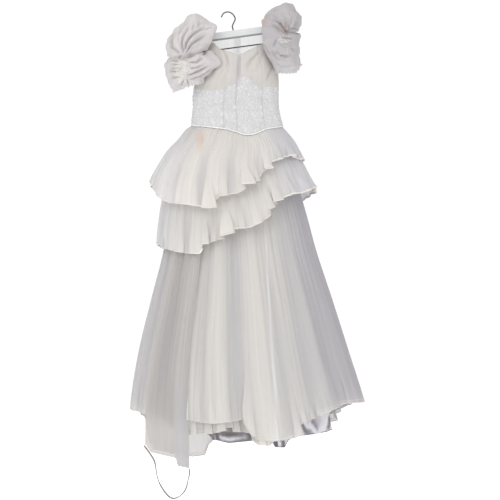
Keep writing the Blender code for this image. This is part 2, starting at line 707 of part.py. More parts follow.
def puff_grid(table, side, phase):
    """The outer face of one puff, from the armhole's front edge round the arm to its back edge."""
    grid = []
    for index, (height, far, near, front, back, rise, dip) in enumerate(table):
        centre = (far + near) / 2
        edge_front = sleeve_edge(side, height + rise * (near - centre), True)
        edge_back = sleeve_edge(side, height + rise * (near - centre), False)
        gathered = height > (-40.0 if side < 0 else -25.0)
        if height > -85.0:
            tucked = ease(((-31.0 if side < 0 else -13.0) - height) / 45.0)
            edge_x = near + ((-86.0 if side < 0 else 154.0) - near) * tucked
            slot = 1.0 + 11.0 * tucked
            edge_front = Vector((edge_x, -slot, height))
            edge_back = Vector((edge_x, slot, height))
        section = smooth(BODY, min(height, -100.0))

        def body_depth(across, depth):
            cosine = (across - (section[0] + section[1]) / 2) / ((section[1] - section[0]) / 2)
            return depth * math.sqrt(max(1 - cosine * cosine, 0.0))

        beside_front = edge_front.x + (near - edge_front.x) * 0.3
        beside_back = edge_back.x + (near - edge_back.x) * 0.3
        front_clear = max(body_depth(beside_front, section[2]) + 12.0, -edge_front.y + 3.0)
        back_clear = max(body_depth(beside_back, section[3]) + 12.0, edge_back.y + 3.0)
        controls = [
            edge_front,
            Vector((beside_front, -min(front_clear, front * 0.7), height)),
            Vector((near, -front * 0.78, height)),
            Vector((near + (centre - near) * 0.55, -front * 0.97, height)),
            Vector((centre + (far - centre) * 0.35, -front * 0.95, height)),
            Vector((far + (centre - far) * 0.22, -front * 0.6, height)),
            Vector((far, 0.0, height)),
            Vector((far + (centre - far) * 0.22, back * 0.62, height)),
            Vector((centre + (far - centre) * 0.35, back * 0.96, height)),
            Vector((near + (centre - near) * 0.55, back * 0.96, height)),
            Vector((near + (centre - near) * 0.25, back * 0.8, height)),
            Vector((beside_back, min(back_clear, back * 0.66), height)),
            edge_back,
        ]
        if gathered:
            controls = [
                edge_front,
                Vector((near + (centre - near) * 0.1, -front * 0.4, height)),
                Vector((near + (centre - near) * 0.5, -front * 0.88, height)),
                Vector((centre, -front, height)),
                Vector((far + (centre - far) * 0.4, -front * 0.85, height)),
                Vector((far, 0.0, height)),
                Vector((far + (centre - far) * 0.4, back * 0.85, height)),
                Vector((centre, back, height)),
                Vector((near + (centre - near) * 0.5, back * 0.88, height)),
                Vector((near + (centre - near) * 0.1, back * 0.4, height)),
                edge_back,
            ]
        if side > 0:
            controls = controls[::-1]
        route = curve_through(controls, 0.1)
        total = sum((b - a).length for a, b in zip(route, route[1:]))
        line = []
        walked = 0.0
        wanted = 0
        for a, b in zip(route, route[1:]):
            span = (b - a).length
            while wanted < PUFF_COLUMNS and walked + span >= total * wanted / (PUFF_COLUMNS - 1) - 1e-6:
                share = (total * wanted / (PUFF_COLUMNS - 1) - walked) / span
                line.append(a + (b - a) * min(max(share, 0.0), 1.0))
                wanted += 1
            walked += span
        down = index / (len(table) - 1)
        for column, point in enumerate(line):
            share = column / (PUFF_COLUMNS - 1)
            fade = math.sin(math.pi * share) * math.sin(math.pi * (0.08 + 0.84 * down))
            wave = PUFF_FOLD_RISE * min(1.0, front / 60.0) * fade * math.sin(2 * math.pi * PUFF_FOLDS * share + phase)
            outward = Vector((point.x - centre, point.y, 0.0))
            if outward.length > 20.0:
                point += outward.normalized() * wave
            front_share = ease(-point.y / front) if point.y < 0 else 0.0
            if 0 < column < PUFF_COLUMNS - 1:
                point.z += rise * (point.x - centre) - dip * front_share
        grid.append(line)
    return grid


def patch(name, grid, first_row, last_row, first_column, last_column, material):
    """Gathered lace and beads on a puff: the puff's own points moved out, with raised beads."""
    rows = grid[first_row:last_row + 1]
    lifted = []
    for row in range(len(rows)):
        line = []
        for column in range(first_column, last_column + 1):
            line_points = rows[row]
            along = line_points[min(column + 1, len(line_points) - 1)] - line_points[column - 1]
            upper = grid[max(first_row + row - 1, 0)][column]
            lower = grid[min(first_row + row + 1, len(grid) - 1)][column]
            normal = along.cross(lower - upper).normalized()
            bead = 1.5 if (row + column) % 2 else 0.0
            line.append(line_points[column] + normal * (WALL + 0.8 + bead))
        lifted.append(line)
    sheet(name, lifted, inner_face(lifted), material)


def build_sleeves(organza, beaded_lace):
    upper = puff_grid(SLEEVE_RIGHT_UPPER, -1, 0.4)
    sheet("sleeve_right_upper", upper, inner_face(upper), organza)
    lower = puff_grid(SLEEVE_RIGHT_LOWER, -1, 2.1)
    sheet("sleeve_right_lower", lower, inner_face(lower), organza)
    patch("sleeve_right_applique", lower, 2, 6, 5, 10, beaded_lace)
    upper = puff_grid(SLEEVE_LEFT_UPPER, 1, 1.3)
    sheet("sleeve_left_upper", upper, inner_face(upper), organza)
    lower = puff_grid(SLEEVE_LEFT_LOWER, 1, 3.0)
    sheet("sleeve_left_lower", lower, inner_face(lower), organza)
    patch("sleeve_left_applique", lower, 1, 3, 13, 17, beaded_lace)


def build_skirts(chiffon, satin):
    columns = even_columns(RING_COLUMNS)
    upper = Tube(UPPER_FLOUNCE, UPPER_FOLDS, UPPER_HEM_FRONT, UPPER_HEM_BACK, 0.0, 0.0)
    lower = Tube(LOWER_FLOUNCE, LOWER_FOLDS, LOWER_HEM_FRONT, LOWER_HEM_BACK, LAYER, 0.0)
    train = Tube(SKIRT, SKIRT_FOLDS + STRIP_FOLD, TRAIN_HEM, TRAIN_HEM, 2 * LAYER, -9.0)
    outer = Tube(SKIRT, SKIRT_FOLDS, OUTER_HEM_FRONT, OUTER_HEM_BACK, 3 * LAYER, 0.0)
    under = Tube(SKIRT, SKIRT_FOLDS, UNDER_HEM_FRONT, UNDER_HEM_BACK, 4 * LAYER, 11.0)
    lining = Tube(LINING, LINING_FOLDS, LINING_HEM_FRONT, LINING_HEM_BACK, 5 * LAYER, 0.0)
    hang("flounce_upper", chiffon, upper, columns, (0, 16, 45), 2, True, satin)
    hang("flounce_lower", chiffon, lower, columns, (0, 45), 3, True, satin)
    hang("skirt_outer", chiffon, outer, columns, (0, 45, 130, 260, 450), 2, True, satin)
    hang("skirt_under", chiffon, under, columns, (0, 45, 130, 260, 450), 2, True)
    hang("skirt_lining", satin, lining, columns, (0, 45), 2, True)
    train_columns = [TRAIN_FROM + (TRAIN_TO - TRAIN_FROM) * index / 10 for index in range(11)]
    hang("train_panel", chiffon, train, train_columns, (0, 45, 130, 260, 450), 3, False, satin)
    return train


def build_ribbon(train, satin):
    """The wrist loop, sewn to the two lower corners of the train panel."""
    first = train.point(TRAIN_TO, train.hem(TRAIN_TO)) + Vector((-2.4, 0.8, -1.6))
    last = train.point(TRAIN_FROM, train.hem(TRAIN_FROM)) + Vector((-1.6, 0.8, -2.5))
    route = [first]
    for across, height in RIBBON_ROUTE:
        share = (across - first.x) / (last.x - first.x)
        route.append(Vector((across, first.y + (last.y - first.y) * share, height)))
    route.append(last)
    round_wire("train_loop", curve_through(route, 11.0), RIBBON_RADIUS, satin, 2)


def build():
    for old in list(bpy.data.objects):
        bpy.data.objects.remove(old)
    white_wood = finish("white_wood", (0.78, 0.79, 0.78), 0.35)
    chrome = finish("chrome", (0.62, 0.62, 0.63), 0.15, 1.0)
    dark_metal = finish("dark_metal", (0.3, 0.3, 0.29), 0.35, 1.0)
    lace = finish("lace", (0.8, 0.79, 0.78), 0.7)
    chiffon = finish("chiffon", (0.68, 0.65, 0.61), 0.8)
    organza = finish("organza", (0.6, 0.56, 0.56), 0.75)
    satin = finish("satin", (0.74, 0.72, 0.72), 0.3)
    build_hanger(white_wood, chrome, dark_metal)
    build_bodice(lace, chiffon, satin)
    build_shoulder("shoulder_right", chiffon, 140.0, 164.0)
    build_shoulder("shoulder_left", chiffon, 17.0, 41.0)
    build_sleeves(organza, lace)
    train = build_skirts(chiffon, satin)
    build_ribbon(train, satin)


build()
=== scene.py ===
"""The looks of a wedding dress on a white hanger.

Thin cloth shells follow the solids of the dress and add its folds, gathers, rolled hems, lace, pearls and
stitches. Tables are in millimetres, in the same frame as the solids: +Z up, front -Y, wearer's right -X,
origin inside the crown of the hanger's hook. Angles around the body: 0 is +X, 90 the front, 180 -X, 270 back.
"""
import functools
import math

import bmesh
import bpy
import numpy as np
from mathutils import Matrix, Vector, noise


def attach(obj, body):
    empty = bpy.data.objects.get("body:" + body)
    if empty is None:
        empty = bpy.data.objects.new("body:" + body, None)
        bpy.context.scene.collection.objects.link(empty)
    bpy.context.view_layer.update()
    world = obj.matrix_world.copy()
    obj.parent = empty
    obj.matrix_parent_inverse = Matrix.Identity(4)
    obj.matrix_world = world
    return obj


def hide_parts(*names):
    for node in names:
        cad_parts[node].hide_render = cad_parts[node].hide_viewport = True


MM = 0.001
WAIST_GAP = 1.0  # space under the piping between the midriff and what is gathered to it
LAYER = 2.0  # step from one gathered layer to the next at the waist
UNDER_FACE = 0.7  # from the outer face of a cloth solid to the thin shell that stands for it
UNDER_INSET = 12.7  # the under skirt's shell, from the skirt's outline near the hem
TRAIN_INSET = -8.3  # the train's, which stands out from that outline

# Hanger
BAR_DEPTH = 16.0
BAR_HEIGHT = 29.5
BAR_CENTRE = Vector((20.0, 0.0, -78.8))
BAR_TILT = math.radians(7.7)
HOOK_COATING = 0.0007  # how far the smooth wire stands out from the hook's solid, in metres

# Outline of the bodice. Columns: height, right side, left side, front depth, back depth
BODY = (
    (-446, -133, 198, 58, 52),
    (-412, -133, 198, 58, 52),
    (-344, -127, 184, 61, 52),
    (-286, -125, 182, 74, 52),
    (-243, -118, 183, 88, 50),
    (-207, -108, 178, 86, 48),
    (-171, -96, 166, 74, 46),
    (-135, -88, 156, 58, 44),
    (-110, -84, 152, 46, 42),
    (-85, -82, 150, 38, 40),
    (-60, -82, 150, 34, 40),
)
# Half opening of each armhole around the side. Columns: height, degrees
ARMHOLE_RIGHT = ((-272, 0), (-250, 9), (-210, 21), (-171, 27), (-135, 24), (-110, 14), (-60, 14))
ARMHOLE_LEFT = ((-221, 0), (-200, 11), (-171, 23), (-135, 24), (-110, 14), (-60, 14))

# Edges drawn across the bodice. Columns: across, height
NECK_FRONT = ((-84, -108), (-52, -110), (-27, -135), (11, -144), (38, -156), (71, -139), (119, -115), (152, -109))
NECK_BACK = ((-84, -98), (-52, -94), (32, -83), (119, -72), (152, -68))
LACE_TOP_FRONT = (
    (-126, -274), (-61, -283), (-14, -279), (-5, -268), (29, -260), (43, -236), (61, -232), (79, -245), (113, -268),
    (184, -270),
)
LACE_TOP_BACK = ((-126, -274), (184, -270))
WAIST_FRONT = (
    (-133, -409), (-94, -412), (-47, -418), (0, -424), (32, -434), (58, -443), (90, -443), (113, -434), (140, -422),
    (198, -413),
)
WAIST_BACK = ((-133, -409), (198, -413))
# Seams of the bodice, in degrees
CENTRE_FRONT = 90.0
PRINCESS_RIGHT = 107.0
PRINCESS_LEFT = 52.0
BACK_SEAM_RIGHT = 228.0
BACK_SEAM_LEFT = 312.0
CENTRE_BACK = 270.0
PLACKET_WIDTH = 24.0
PIPING_HEIGHT = 7.0

# Outlines of the tubes that hang from the waist.
# Columns: drop below the waist, right side, left side, front depth, back depth
UPPER_FLOUNCE = (
    (0, -133, 198, 58, 52),
    (11, -151, 209, 68, 60),
    (47, -180, 238, 93, 80),
    (83, -216, 256, 118, 99),
    (119, -241, 272, 138, 116),
    (155, -262, 296, 154, 130),
    (191, -280, 318, 168, 142),
    (299, -306, 366, 194, 166),
)
LOWER_FLOUNCE = (
    (0, -133, 198, 58, 52),
    (47, -160, 221, 75, 64),
    (119, -196, 268, 106, 88),
    (191, -220, 304, 133, 110),
    (263, -237, 345, 154, 128),
    (371, -252, 386, 176, 148),
    (443, -256, 402, 186, 158),
)
SKIRT = (
    (0, -133, 198, 58, 52),
    (47, -150, 208, 66, 58),
    (119, -178, 232, 84, 74),
    (191, -200, 252, 102, 90),
    (263, -211, 271, 118, 104),
    (335, -217, 290, 132, 118),
    (443, -230, 318, 150, 136),
    (623, -274, 378, 176, 160),
    (803, -317, 436, 200, 182),
    (983, -347, 494, 218, 198),
    (1091, -352, 520, 226, 206),
    (1240, -354, 536, 232, 212),
)
LINING = (
    (0, -133, 198, 58, 52),
    (119, -136, 212, 72, 62),
    (443, -128, 262, 102, 90),
    (803, -106, 326, 122, 108),
    (1180, -76, 386, 138, 124),
)

# Hems drawn across the dress, one for its front and one for its back. Columns: across, height
UPPER_HEM_FRONT = (
    (-282, -610), (-266, -643), (-238, -676), (-212, -687), (-142, -694), (-107, -700), (-72, -707), (-47, -695),
    (-38, -666), (-12, -662), (39, -652), (50, -622), (89, -616), (115, -606), (124, -572), (150, -562),
    (158, -542), (198, -524), (229, -517), (256, -532), (272, -527),
)
UPPER_HEM_BACK = (
    (-282, -610), (-259, -646), (-209, -675), (-101, -693), (43, -675), (151, -632), (223, -574), (272, -527),
)
LOWER_HEM_FRONT = (
    (-256, -833), (-236, -848), (-191, -860), (-147, -868), (-105, -870), (-95, -836), (-55, -829), (-16, -809),
    (6, -787), (32, -778), (67, -779), (97, -770), (141, -743), (152, -705), (185, -677), (233, -655), (268, -652),
    (320, -630),
)
LOWER_HEM_BACK = ((-256, -833), (-209, -851), (-101, -848), (43, -812), (187, -740), (277, -675), (320, -630))
OUTER_HEM_FRONT = (
    (-349, -1427), (-292, -1442), (-209, -1453), (-130, -1463), (-68, -1474), (-22, -1471), (14, -1467),
    (78, -1453), (92, -1519), (108, -1530), (151, -1537), (205, -1532), (244, -1523), (258, -1480), (270, -1471),
    (313, -1453), (349, -1437), (378, -1424), (418, -1404), (497, -1402),
)
OUTER_HEM_BACK = (
    (-349, -1427), (-302, -1440), (-288, -1540), (-274, -1575), (-184, -1594), (-130, -1606), (-85, -1600),
    (-62, -1539), (79, -1526), (259, -1505), (367, -1483), (392, -1468), (405, -1440), (425, -1412), (497, -1402),
)
UNDER_HEM_FRONT = (
    (-342, -1406), (-281, -1438), (-144, -1514), (-68, -1510), (-22, -1503), (7, -1487), (22, -1503), (65, -1505),
    (84, -1510), (101, -1548), (151, -1553), (166, -1535), (241, -1517), (262, -1467), (313, -1440), (378, -1412),
    (482, -1388),
)
UNDER_HEM_BACK = ((-342, -1406), (-281, -1485), (-101, -1520), (79, -1506), (367, -1455), (482, -1388))
LINING_HEM_FRONT = (
    (-76, -1517), (-47, -1537), (7, -1546), (101, -1536), (155, -1536), (170, -1560), (203, -1561), (216, -1535),
    (248, -1522), (330, -1513), (384, -1500),
)
LINING_HEM_BACK = ((-76, -1517), (7, -1532), (151, -1532), (384, -1500))
TRAIN_HEM = ((-292, -1553), (-274, -1579), (-227, -1589), (-184, -1597), (-177, -1624), (-133, -1633))
TRAIN_FROM = 120.0
TRAIN_TO = 148.4

# Folds. Columns: angle, half width in degrees, rise (a trough is negative), drop where it starts and is full
SKIRT_FOLDS = (
    (9, 9, -9, 150, 800),
    (24, 9, 9, 200, 900),
    (38, 9, -12, 120, 800),
    (48, 8, 9, 200, 900),
    (57, 8, -11, 150, 900),
    (70, 8, -12, 100, 800),
    (78.5, 6, 11, 60, 700),
    (94, 9, -15, 60, 700),
    (104, 8, 9, 100, 800),
    (115, 8, -14, 60, 700),
    (124.5, 7, 8, 200, 900),
    (138, 8, -9, 100, 800),
    (148, 7, 6, 200, 900),
    (158, 9, -8, 150, 800),
    (172, 9, 6, 200, 900),
    (192, 10, -10, 100, 800),
    (207, 9, 9, 200, 900),
    (222, 10, -13, 80, 700),
    (238, 9, 10, 150, 800),
    (252, 9, -12, 60, 800),
    (266, 9, 11, 200, 900),
    (281, 10, -14, 100, 700),
    (296, 9, 9, 200, 900),
    (310, 9, -11, 60, 800),
    (326, 10, 10, 150, 800),
    (344, 10, -10, 100, 800),
)
LINING_FOLDS = (
    (40, 16, -12, 200, 1100),
    (62, 12, 10, 300, 1100),
    (78.5, 9, 12, 300, 1100),
    (100, 14, -10, 300, 1100),
    (150, 20, -8, 300, 1100),
    (230, 20, -12, 200, 1100),
    (290, 20, -10, 200, 1100),
)
UPPER_FOLDS = (
    (4, 9, 6, 20, 130),
    (17, 8, -8, 20, 130),
    (31, 8, 8, 20, 130),
    (44, 8, -9, 20, 140),
    (56, 8, 9, 20, 150),
    (68, 7, -9, 20, 160),
    (79, 7, 10, 20, 180),
    (91, 8, -9, 20, 200),
    (103, 7, 9, 20, 200),
    (113, 7, -10, 20, 220),
    (123, 7, 9, 20, 220),
    (135, 8, -7, 20, 220),
    (149, 9, 6, 20, 200),
    (165, 9, -7, 20, 180),
    (197, 10, -8, 20, 180),
    (214, 9, 9, 20, 200),
    (231, 10, -9, 20, 220),
    (247, 9, 9, 20, 220),
    (264, 10, -10, 20, 200),
    (281, 10, 9, 20, 200),
    (298, 9, -9, 20, 180),
    (315, 10, 8, 20, 160),
    (334, 10, -8, 20, 140),
)
LOWER_FOLDS = (
    (2, 9, 5, 150, 260),
    (15, 8, -9, 150, 280),
    (28, 8, 9, 150, 280),
    (41, 8, -10, 150, 300),
    (54, 8, 9, 150, 300),
    (66, 8, -10, 160, 320),
    (78, 8, 10, 180, 340),
    (90, 8, -10, 200, 360),
    (101, 7, 9, 220, 380),
    (112, 8, -10, 240, 400),
    (123, 7, 9, 250, 420),
    (134, 8, -8, 250, 420),
    (147, 9, 7, 250, 420),
    (163, 9, -6, 250, 420),
    (199, 10, -8, 240, 400),
    (217, 10, 9, 240, 400),
    (235, 10, -10, 220, 380),
    (253, 10, 9, 200, 360),
    (271, 10, -10, 200, 360),
    (289, 10, 9, 180, 340),
    (307, 10, -9, 160, 300),
    (326, 10, 8, 150, 280),
    (344, 9, -7, 150, 260),
)
STRIP_FOLD = ((125.0, 7.5, 8.0, 300, 700),)

# Puffs of the sleeves, from the top down. The near side faces the neck.
# Columns: height, far side, near side, front depth, back depth, rise towards +X, dip of the front
SLEEVE_RIGHT_UPPER = (
    (-7, -136, -102, 16, 14, 0.0, 0),
    (-16, -146, -88, 30, 26, 0.0, 0),
    (-31, -157, -68, 46, 40, 0.0, 0),
    (-49, -182, -43, 64, 55, 0.0, 0),
    (-67, -196, -43, 76, 64, 0.0, 0),
    (-88, -212, -50, 84, 70, 0.0, 0),
    (-110, -220, -54, 88, 73, 0.0, 0),
    (-134.3, -221, -64, 84, 70, 0.0, 0),
)
SLEEVE_RIGHT_LOWER = (
    (-135, -204, -80, 68, 56, 0.0, 0),
    (-147, -216, -54, 84, 64, 0.0, 0),
    (-167, -221, -36, 99, 70, 0.0, 0),
    (-189, -227, -27, 108, 74, 0.02, 0),
    (-209, -225, -40, 110, 74, 0.08, 0),
    (-227, -217, -64, 102, 68, 0.2, 0),
    (-244, -207, -82, 92, 60, 0.33, 0),
    (-264, -194, -90, 84, 52, 0.42, 0),
)
SLEEVE_LEFT_UPPER = (
    (31, 234, 204, 14, 12, 0.0, 0),
    (20, 241, 168, 36, 32, 0.0, 0),
    (5, 248, 146, 54, 48, 0.0, 0),
    (-13, 266, 131, 66, 58, 0.0, 0),
    (-31, 268, 123, 74, 64, 0.0, 0),
    (-49, 261, 122, 78, 66, 0.0, 0),
    (-67, 255, 128, 76, 66, 0.0, 0),
    (-81.3, 250, 136, 72, 63, 0.0, 0),
)
SLEEVE_LEFT_LOWER = (
    (-82, 240, 150, 58, 52, 0.0, 0),
    (-92, 258, 130, 72, 63, 0.0, 0),
    (-106, 259, 123, 80, 66, 0.0, 0),
    (-128, 256, 126, 86, 68, 0.0, 0),
    (-149, 255, 133, 86, 68, 0.0, 0),
    (-169, 257, 148, 82, 62, 0.0, 4),
    (-184, 259, 163, 78, 56, 0.0, 14),
    (-191, 262, 173, 72, 50, 0.0, 30),
)
ARMHOLE_CLEARANCE = 1.4  # from the bodice's edge out to the outer face of the sleeve's edge
OUTLINE_TOP = -100.0  # above this height a sleeve's edge keeps to the outline that the bodice has here
# Slot in the top of a sleeve, where the bar comes out. Keys: -1 for the right sleeve, 1 for the left sleeve
GATHERED_ABOVE = {-1: -40.0, 1: -25.0}  # height above which a puff is a plain oval that ends in its gathers
SLOT_TOP = {-1: -31.0, 1: -13.0}  # height where the slot ends
SLOT_EDGE = {-1: -86.0, 1: 154.0}  # place across of the slot's edge where it is fully open
SLOT_FOOT = -85.0  # height where the slot goes over into the armhole
SLOT_RUN = 45.0  # height that the slot takes to open fully
SLOT_HALF = (1.0, 12.0)  # half its width where it ends, and fully open
PUFF_SEAM = {-1: -134.6, 1: -81.6}  # height of the seam between the two puffs

# Route of the ribbon loop between its two sewn ends. Columns: across, height
RIBBON_ROUTE = (
    (-287, -1571), (-275, -1588), (-262, -1610), (-257, -1636), (-253, -1661), (-243, -1690), (-220, -1725),
    (-198, -1741), (-177, -1736), (-159, -1721), (-148, -1702), (-141, -1673), (-136, -1652),
)
LOOP_ENDS = (Vector((-299.81, -130.27, -1554.47)), Vector((-136.1, -207.82, -1635.0)))
RIBBON_HALF = (0.0031, 0.0018)  # half its width and half its thickness, in metres


def straight(rows, key):
    """Height at a place across, along the straight runs of a table of points."""
    if key <= rows[0][0]:
        return rows[0][1]
    for low, high in zip(rows, rows[1:]):
        if key <= high[0]:
            share = (key - low[0]) / (high[0] - low[0])
            return low[1] + (high[1] - low[1]) * share
    return rows[-1][1]


def smooth(rows, key):
    """All columns of a table at a key between its rows, on a curve through the rows."""
    if key <= rows[0][0]:
        return rows[0][1:]
    if key >= rows[-1][0]:
        return rows[-1][1:]
    index = max(i for i, row in enumerate(rows) if row[0] <= key)
    before = rows[max(index - 1, 0)]
    low = rows[index]
    high = rows[index + 1]
    after = rows[min(index + 2, len(rows) - 1)]
    span = high[0] - low[0]
    t = (key - low[0]) / span
    values = []
    for column in range(1, len(low)):
        slope_low = (high[column] - before[column]) / (high[0] - before[0]) * span
        slope_high = (after[column] - low[column]) / (after[0] - low[0]) * span
        values.append(
            (2 * t**3 - 3 * t**2 + 1) * low[column]
            + (t**3 - 2 * t**2 + t) * slope_low
            + (3 * t**2 - 2 * t**3) * high[column]
            + (t**3 - t**2) * slope_high
        )
    return values


def ease(value):
    """0 to 1 with soft ends."""
    value = min(max(value, 0.0), 1.0)
    return value * value * (3 - 2 * value)


def ring_point(section, degrees, out):
    """Place in plan on a ring with its own front and back depth, moved out along its normal."""
    right, left, front, back = section
    angle = math.radians(degrees)
    half = (left - right) / 2
    depth = front if math.sin(angle) > 0 else back
    normal = Vector((math.cos(angle) / half, -math.sin(angle) / depth)).normalized()
    x = (left + right) / 2 + half * math.cos(angle) + normal.x * out
    y = -depth * math.sin(angle) + normal.y * out
    return x, y


def body_point(degrees, height, out=0.0):
    x, y = ring_point(smooth(BODY, height), degrees, out)
    return Vector((x, y, height))


def arc_step(degrees, height):
    """Length along the body's ring for one degree."""
    return (body_point(degrees + 1, height) - body_point(degrees - 1, height)).length / 2


def is_front(degrees):
    return math.sin(math.radians(degrees)) > 0


def edge_height(front_rows, back_rows, degrees, start, step):
    """Height where a line up or down the body at an angle meets an edge that is drawn across it."""
    rows = front_rows if is_front(degrees) else back_rows
    height = start
    while abs(step) > 0.05:
        while (straight(rows, body_point(degrees, height).x) - height) * step > 0:
            height += step
        height -= step
        step /= 4
    return height


@functools.lru_cache(maxsize=None)
def lace_top(degrees):
    return edge_height(LACE_TOP_FRONT, LACE_TOP_BACK, degrees, -320.0, 8.0)


@functools.lru_cache(maxsize=None)
def neck(degrees):
    return edge_height(NECK_FRONT, NECK_BACK, degrees, -200.0, 8.0)


@functools.lru_cache(maxsize=None)
def waist(degrees):
    return edge_height(WAIST_FRONT, WAIST_BACK, degrees, -380.0, -8.0)


def armhole_right(height):
    return straight(ARMHOLE_RIGHT, height)


def armhole_left(height):
    return straight(ARMHOLE_LEFT, height)


def bar_top(across):
    """Height of the bar's upper face."""
    return BAR_CENTRE.z + (across - BAR_CENTRE.x) * math.tan(BAR_TILT) + BAR_HEIGHT / 2 / math.cos(BAR_TILT)


def between(before, low, high, after, t):
    """A place on a smooth curve from one point to the next, bent by the points beside them."""
    return (low * 2 + (high - before) * t + (before * 2 - low * 5 + high * 4 - after) * t**2
            + (low * 3 - before - high * 3 + after) * t**3) / 2


def curve_through(points, spacing):
    """Points at even steps on a smooth curve through a route."""
    path = [Vector(point) for point in points]
    fine = []
    for index in range(len(path) - 1):
        before = path[max(index - 1, 0)]
        after = path[min(index + 2, len(path) - 1)]
        fine.extend(between(before, path[index], path[index + 1], after, part / 24) for part in range(24))
    fine.append(path[-1])
    chosen = [fine[0]]
    for point in fine[1:]:
        if (point - chosen[-1]).length >= spacing:
            chosen.append(point)
    if (chosen[-1] - path[-1]).length < spacing / 2:
        chosen.pop()
    return chosen + [path[-1]]


def sleeve_edge(side, height, front):
    """The bodice's armhole edge, which the sleeve's edge follows."""
    opening = armhole_right(height) if side < 0 else armhole_left(height)
    middle = 180.0 if side < 0 else 0.0
    turn = opening if (side > 0) == front else -opening
    place = body_point(middle + turn, min(height, OUTLINE_TOP))
    return Vector((place.x + side * ARMHOLE_CLEARANCE, place.y, height))


def puff_grid(table, side, columns):
    """The outer face of one puff, from the armhole's front edge round the arm to its back edge."""
    grid = []
    for height, far, near, front, back, rise, dip in table:
        centre = (far + near) / 2
        edge_front = sleeve_edge(side, height + rise * (near - centre), True)
        edge_back = sleeve_edge(side, height + rise * (near - centre), False)
        if height > SLOT_FOOT:
            tucked = ease((SLOT_TOP[side] - height) / SLOT_RUN)
            edge_x = near + (SLOT_EDGE[side] - near) * tucked
            slot = SLOT_HALF[0] + (SLOT_HALF[1] - SLOT_HALF[0]) * tucked
            edge_front = Vector((edge_x, -slot, height))
            edge_back = Vector((edge_x, slot, height))
        section = smooth(BODY, min(height, OUTLINE_TOP))

        def body_depth(across, depth):
            cosine = (across - (section[0] + section[1]) / 2) / ((section[1] - section[0]) / 2)
            return depth * math.sqrt(max(1 - cosine * cosine, 0.0))

        beside_front = edge_front.x + (near - edge_front.x) * 0.3
        beside_back = edge_back.x + (near - edge_back.x) * 0.3
        front_clear = max(body_depth(beside_front, section[2]) + 12.0, -edge_front.y + 3.0)
        back_clear = max(body_depth(beside_back, section[3]) + 12.0, edge_back.y + 3.0)

        def at(begin, finish, share, depth):
            """Part of the way across, at a share of the front depth (negative) or of the back depth."""
            return Vector((begin + (finish - begin) * share, depth * (front if depth < 0 else back), height))

        controls = [
            edge_front,
            Vector((beside_front, -min(front_clear, front * 0.7), height)),
            at(near, centre, 0.0, -0.78),
            at(near, centre, 0.55, -0.97),
            at(centre, far, 0.35, -0.95),
            at(far, centre, 0.22, -0.6),
            at(far, centre, 0.0, 0.0),
            at(far, centre, 0.22, 0.62),
            at(centre, far, 0.35, 0.96),
            at(near, centre, 0.55, 0.96),
            at(near, centre, 0.25, 0.8),
            Vector((beside_back, min(back_clear, back * 0.66), height)),
            edge_back,
        ]
        if height > GATHERED_ABOVE[side]:
            controls = [
                edge_front,
                at(near, centre, 0.1, -0.4),
                at(near, centre, 0.5, -0.88),
                at(centre, far, 0.0, -1.0),
                at(far, centre, 0.4, -0.85),
                at(far, centre, 0.0, 0.0),
                at(far, centre, 0.4, 0.85),
                at(centre, far, 0.0, 1.0),
                at(near, centre, 0.5, 0.88),
                at(near, centre, 0.1, 0.4),
                edge_back,
            ]
        if side > 0:
            controls = controls[::-1]
        route = curve_through(controls, 0.1)
        total = sum((b - a).length for a, b in zip(route, route[1:]))
        line = []
        walked = 0.0
        wanted = 0
        for a, b in zip(route, route[1:]):
            span = (b - a).length
            while wanted < columns and walked + span >= total * wanted / (columns - 1) - 1e-6:
                share = (total * wanted / (columns - 1) - walked) / span
                line.append(a + (b - a) * min(max(share, 0.0), 1.0))
                wanted += 1
            walked += span
        for column, point in enumerate(line):
            front_share = ease(-point.y / front) if point.y < 0 else 0.0
            if 0 < column < columns - 1:
                point.z += rise * (point.x - centre) - dip * front_share
        grid.append(line)
    return grid


# Fine form

def soft(values):
    """0 to 1 with soft ends, on arrays."""
    values = np.clip(values, 0.0, 1.0)
    return values * values * (3 - 2 * values)


def each(function, values):
    """A slow function of one number on an array with many equal values."""
    unique, place = np.unique(np.round(values, 5), return_inverse=True)
    return np.array([function(value) for value in unique.tolist()])[place].reshape(np.shape(values))


def smooth_columns(rows, keys):
    """All columns of a table at an array of keys, on the same curve as in smooth()."""
    return np.moveaxis(np.array([each(lambda key, c=column: smooth(rows, key)[c], keys)
                                 for column in range(len(rows[0]) - 1)]), 0, -1)


def ripples(seed, lowest, highest, count):
    """Waves round a tube that add up to uneven folds: how many in a circle, phase, drift down the cloth, height."""
    rng = np.random.default_rng(seed)
    heights = rng.uniform(0.4, 1.0, count)
    return list(zip(rng.integers(lowest, highest, count).tolist(), rng.uniform(0, 2 * math.pi, count).tolist(),
                    rng.uniform(-0.8, 0.8, count).tolist(), (heights / np.sqrt((heights**2).sum())).tolist()))


def wave_sum(parts, turn, drop):
    return sum(height * np.sin(count * turn + phase + drift * drop / 260.0) for count, phase, drift, height in parts)


def row_shares(rows):
    """Shares of the way down a layer, closer together near its hem."""
    share = np.linspace(0.0, 1.0, rows)
    return share * (1.35 - 0.35 * share)


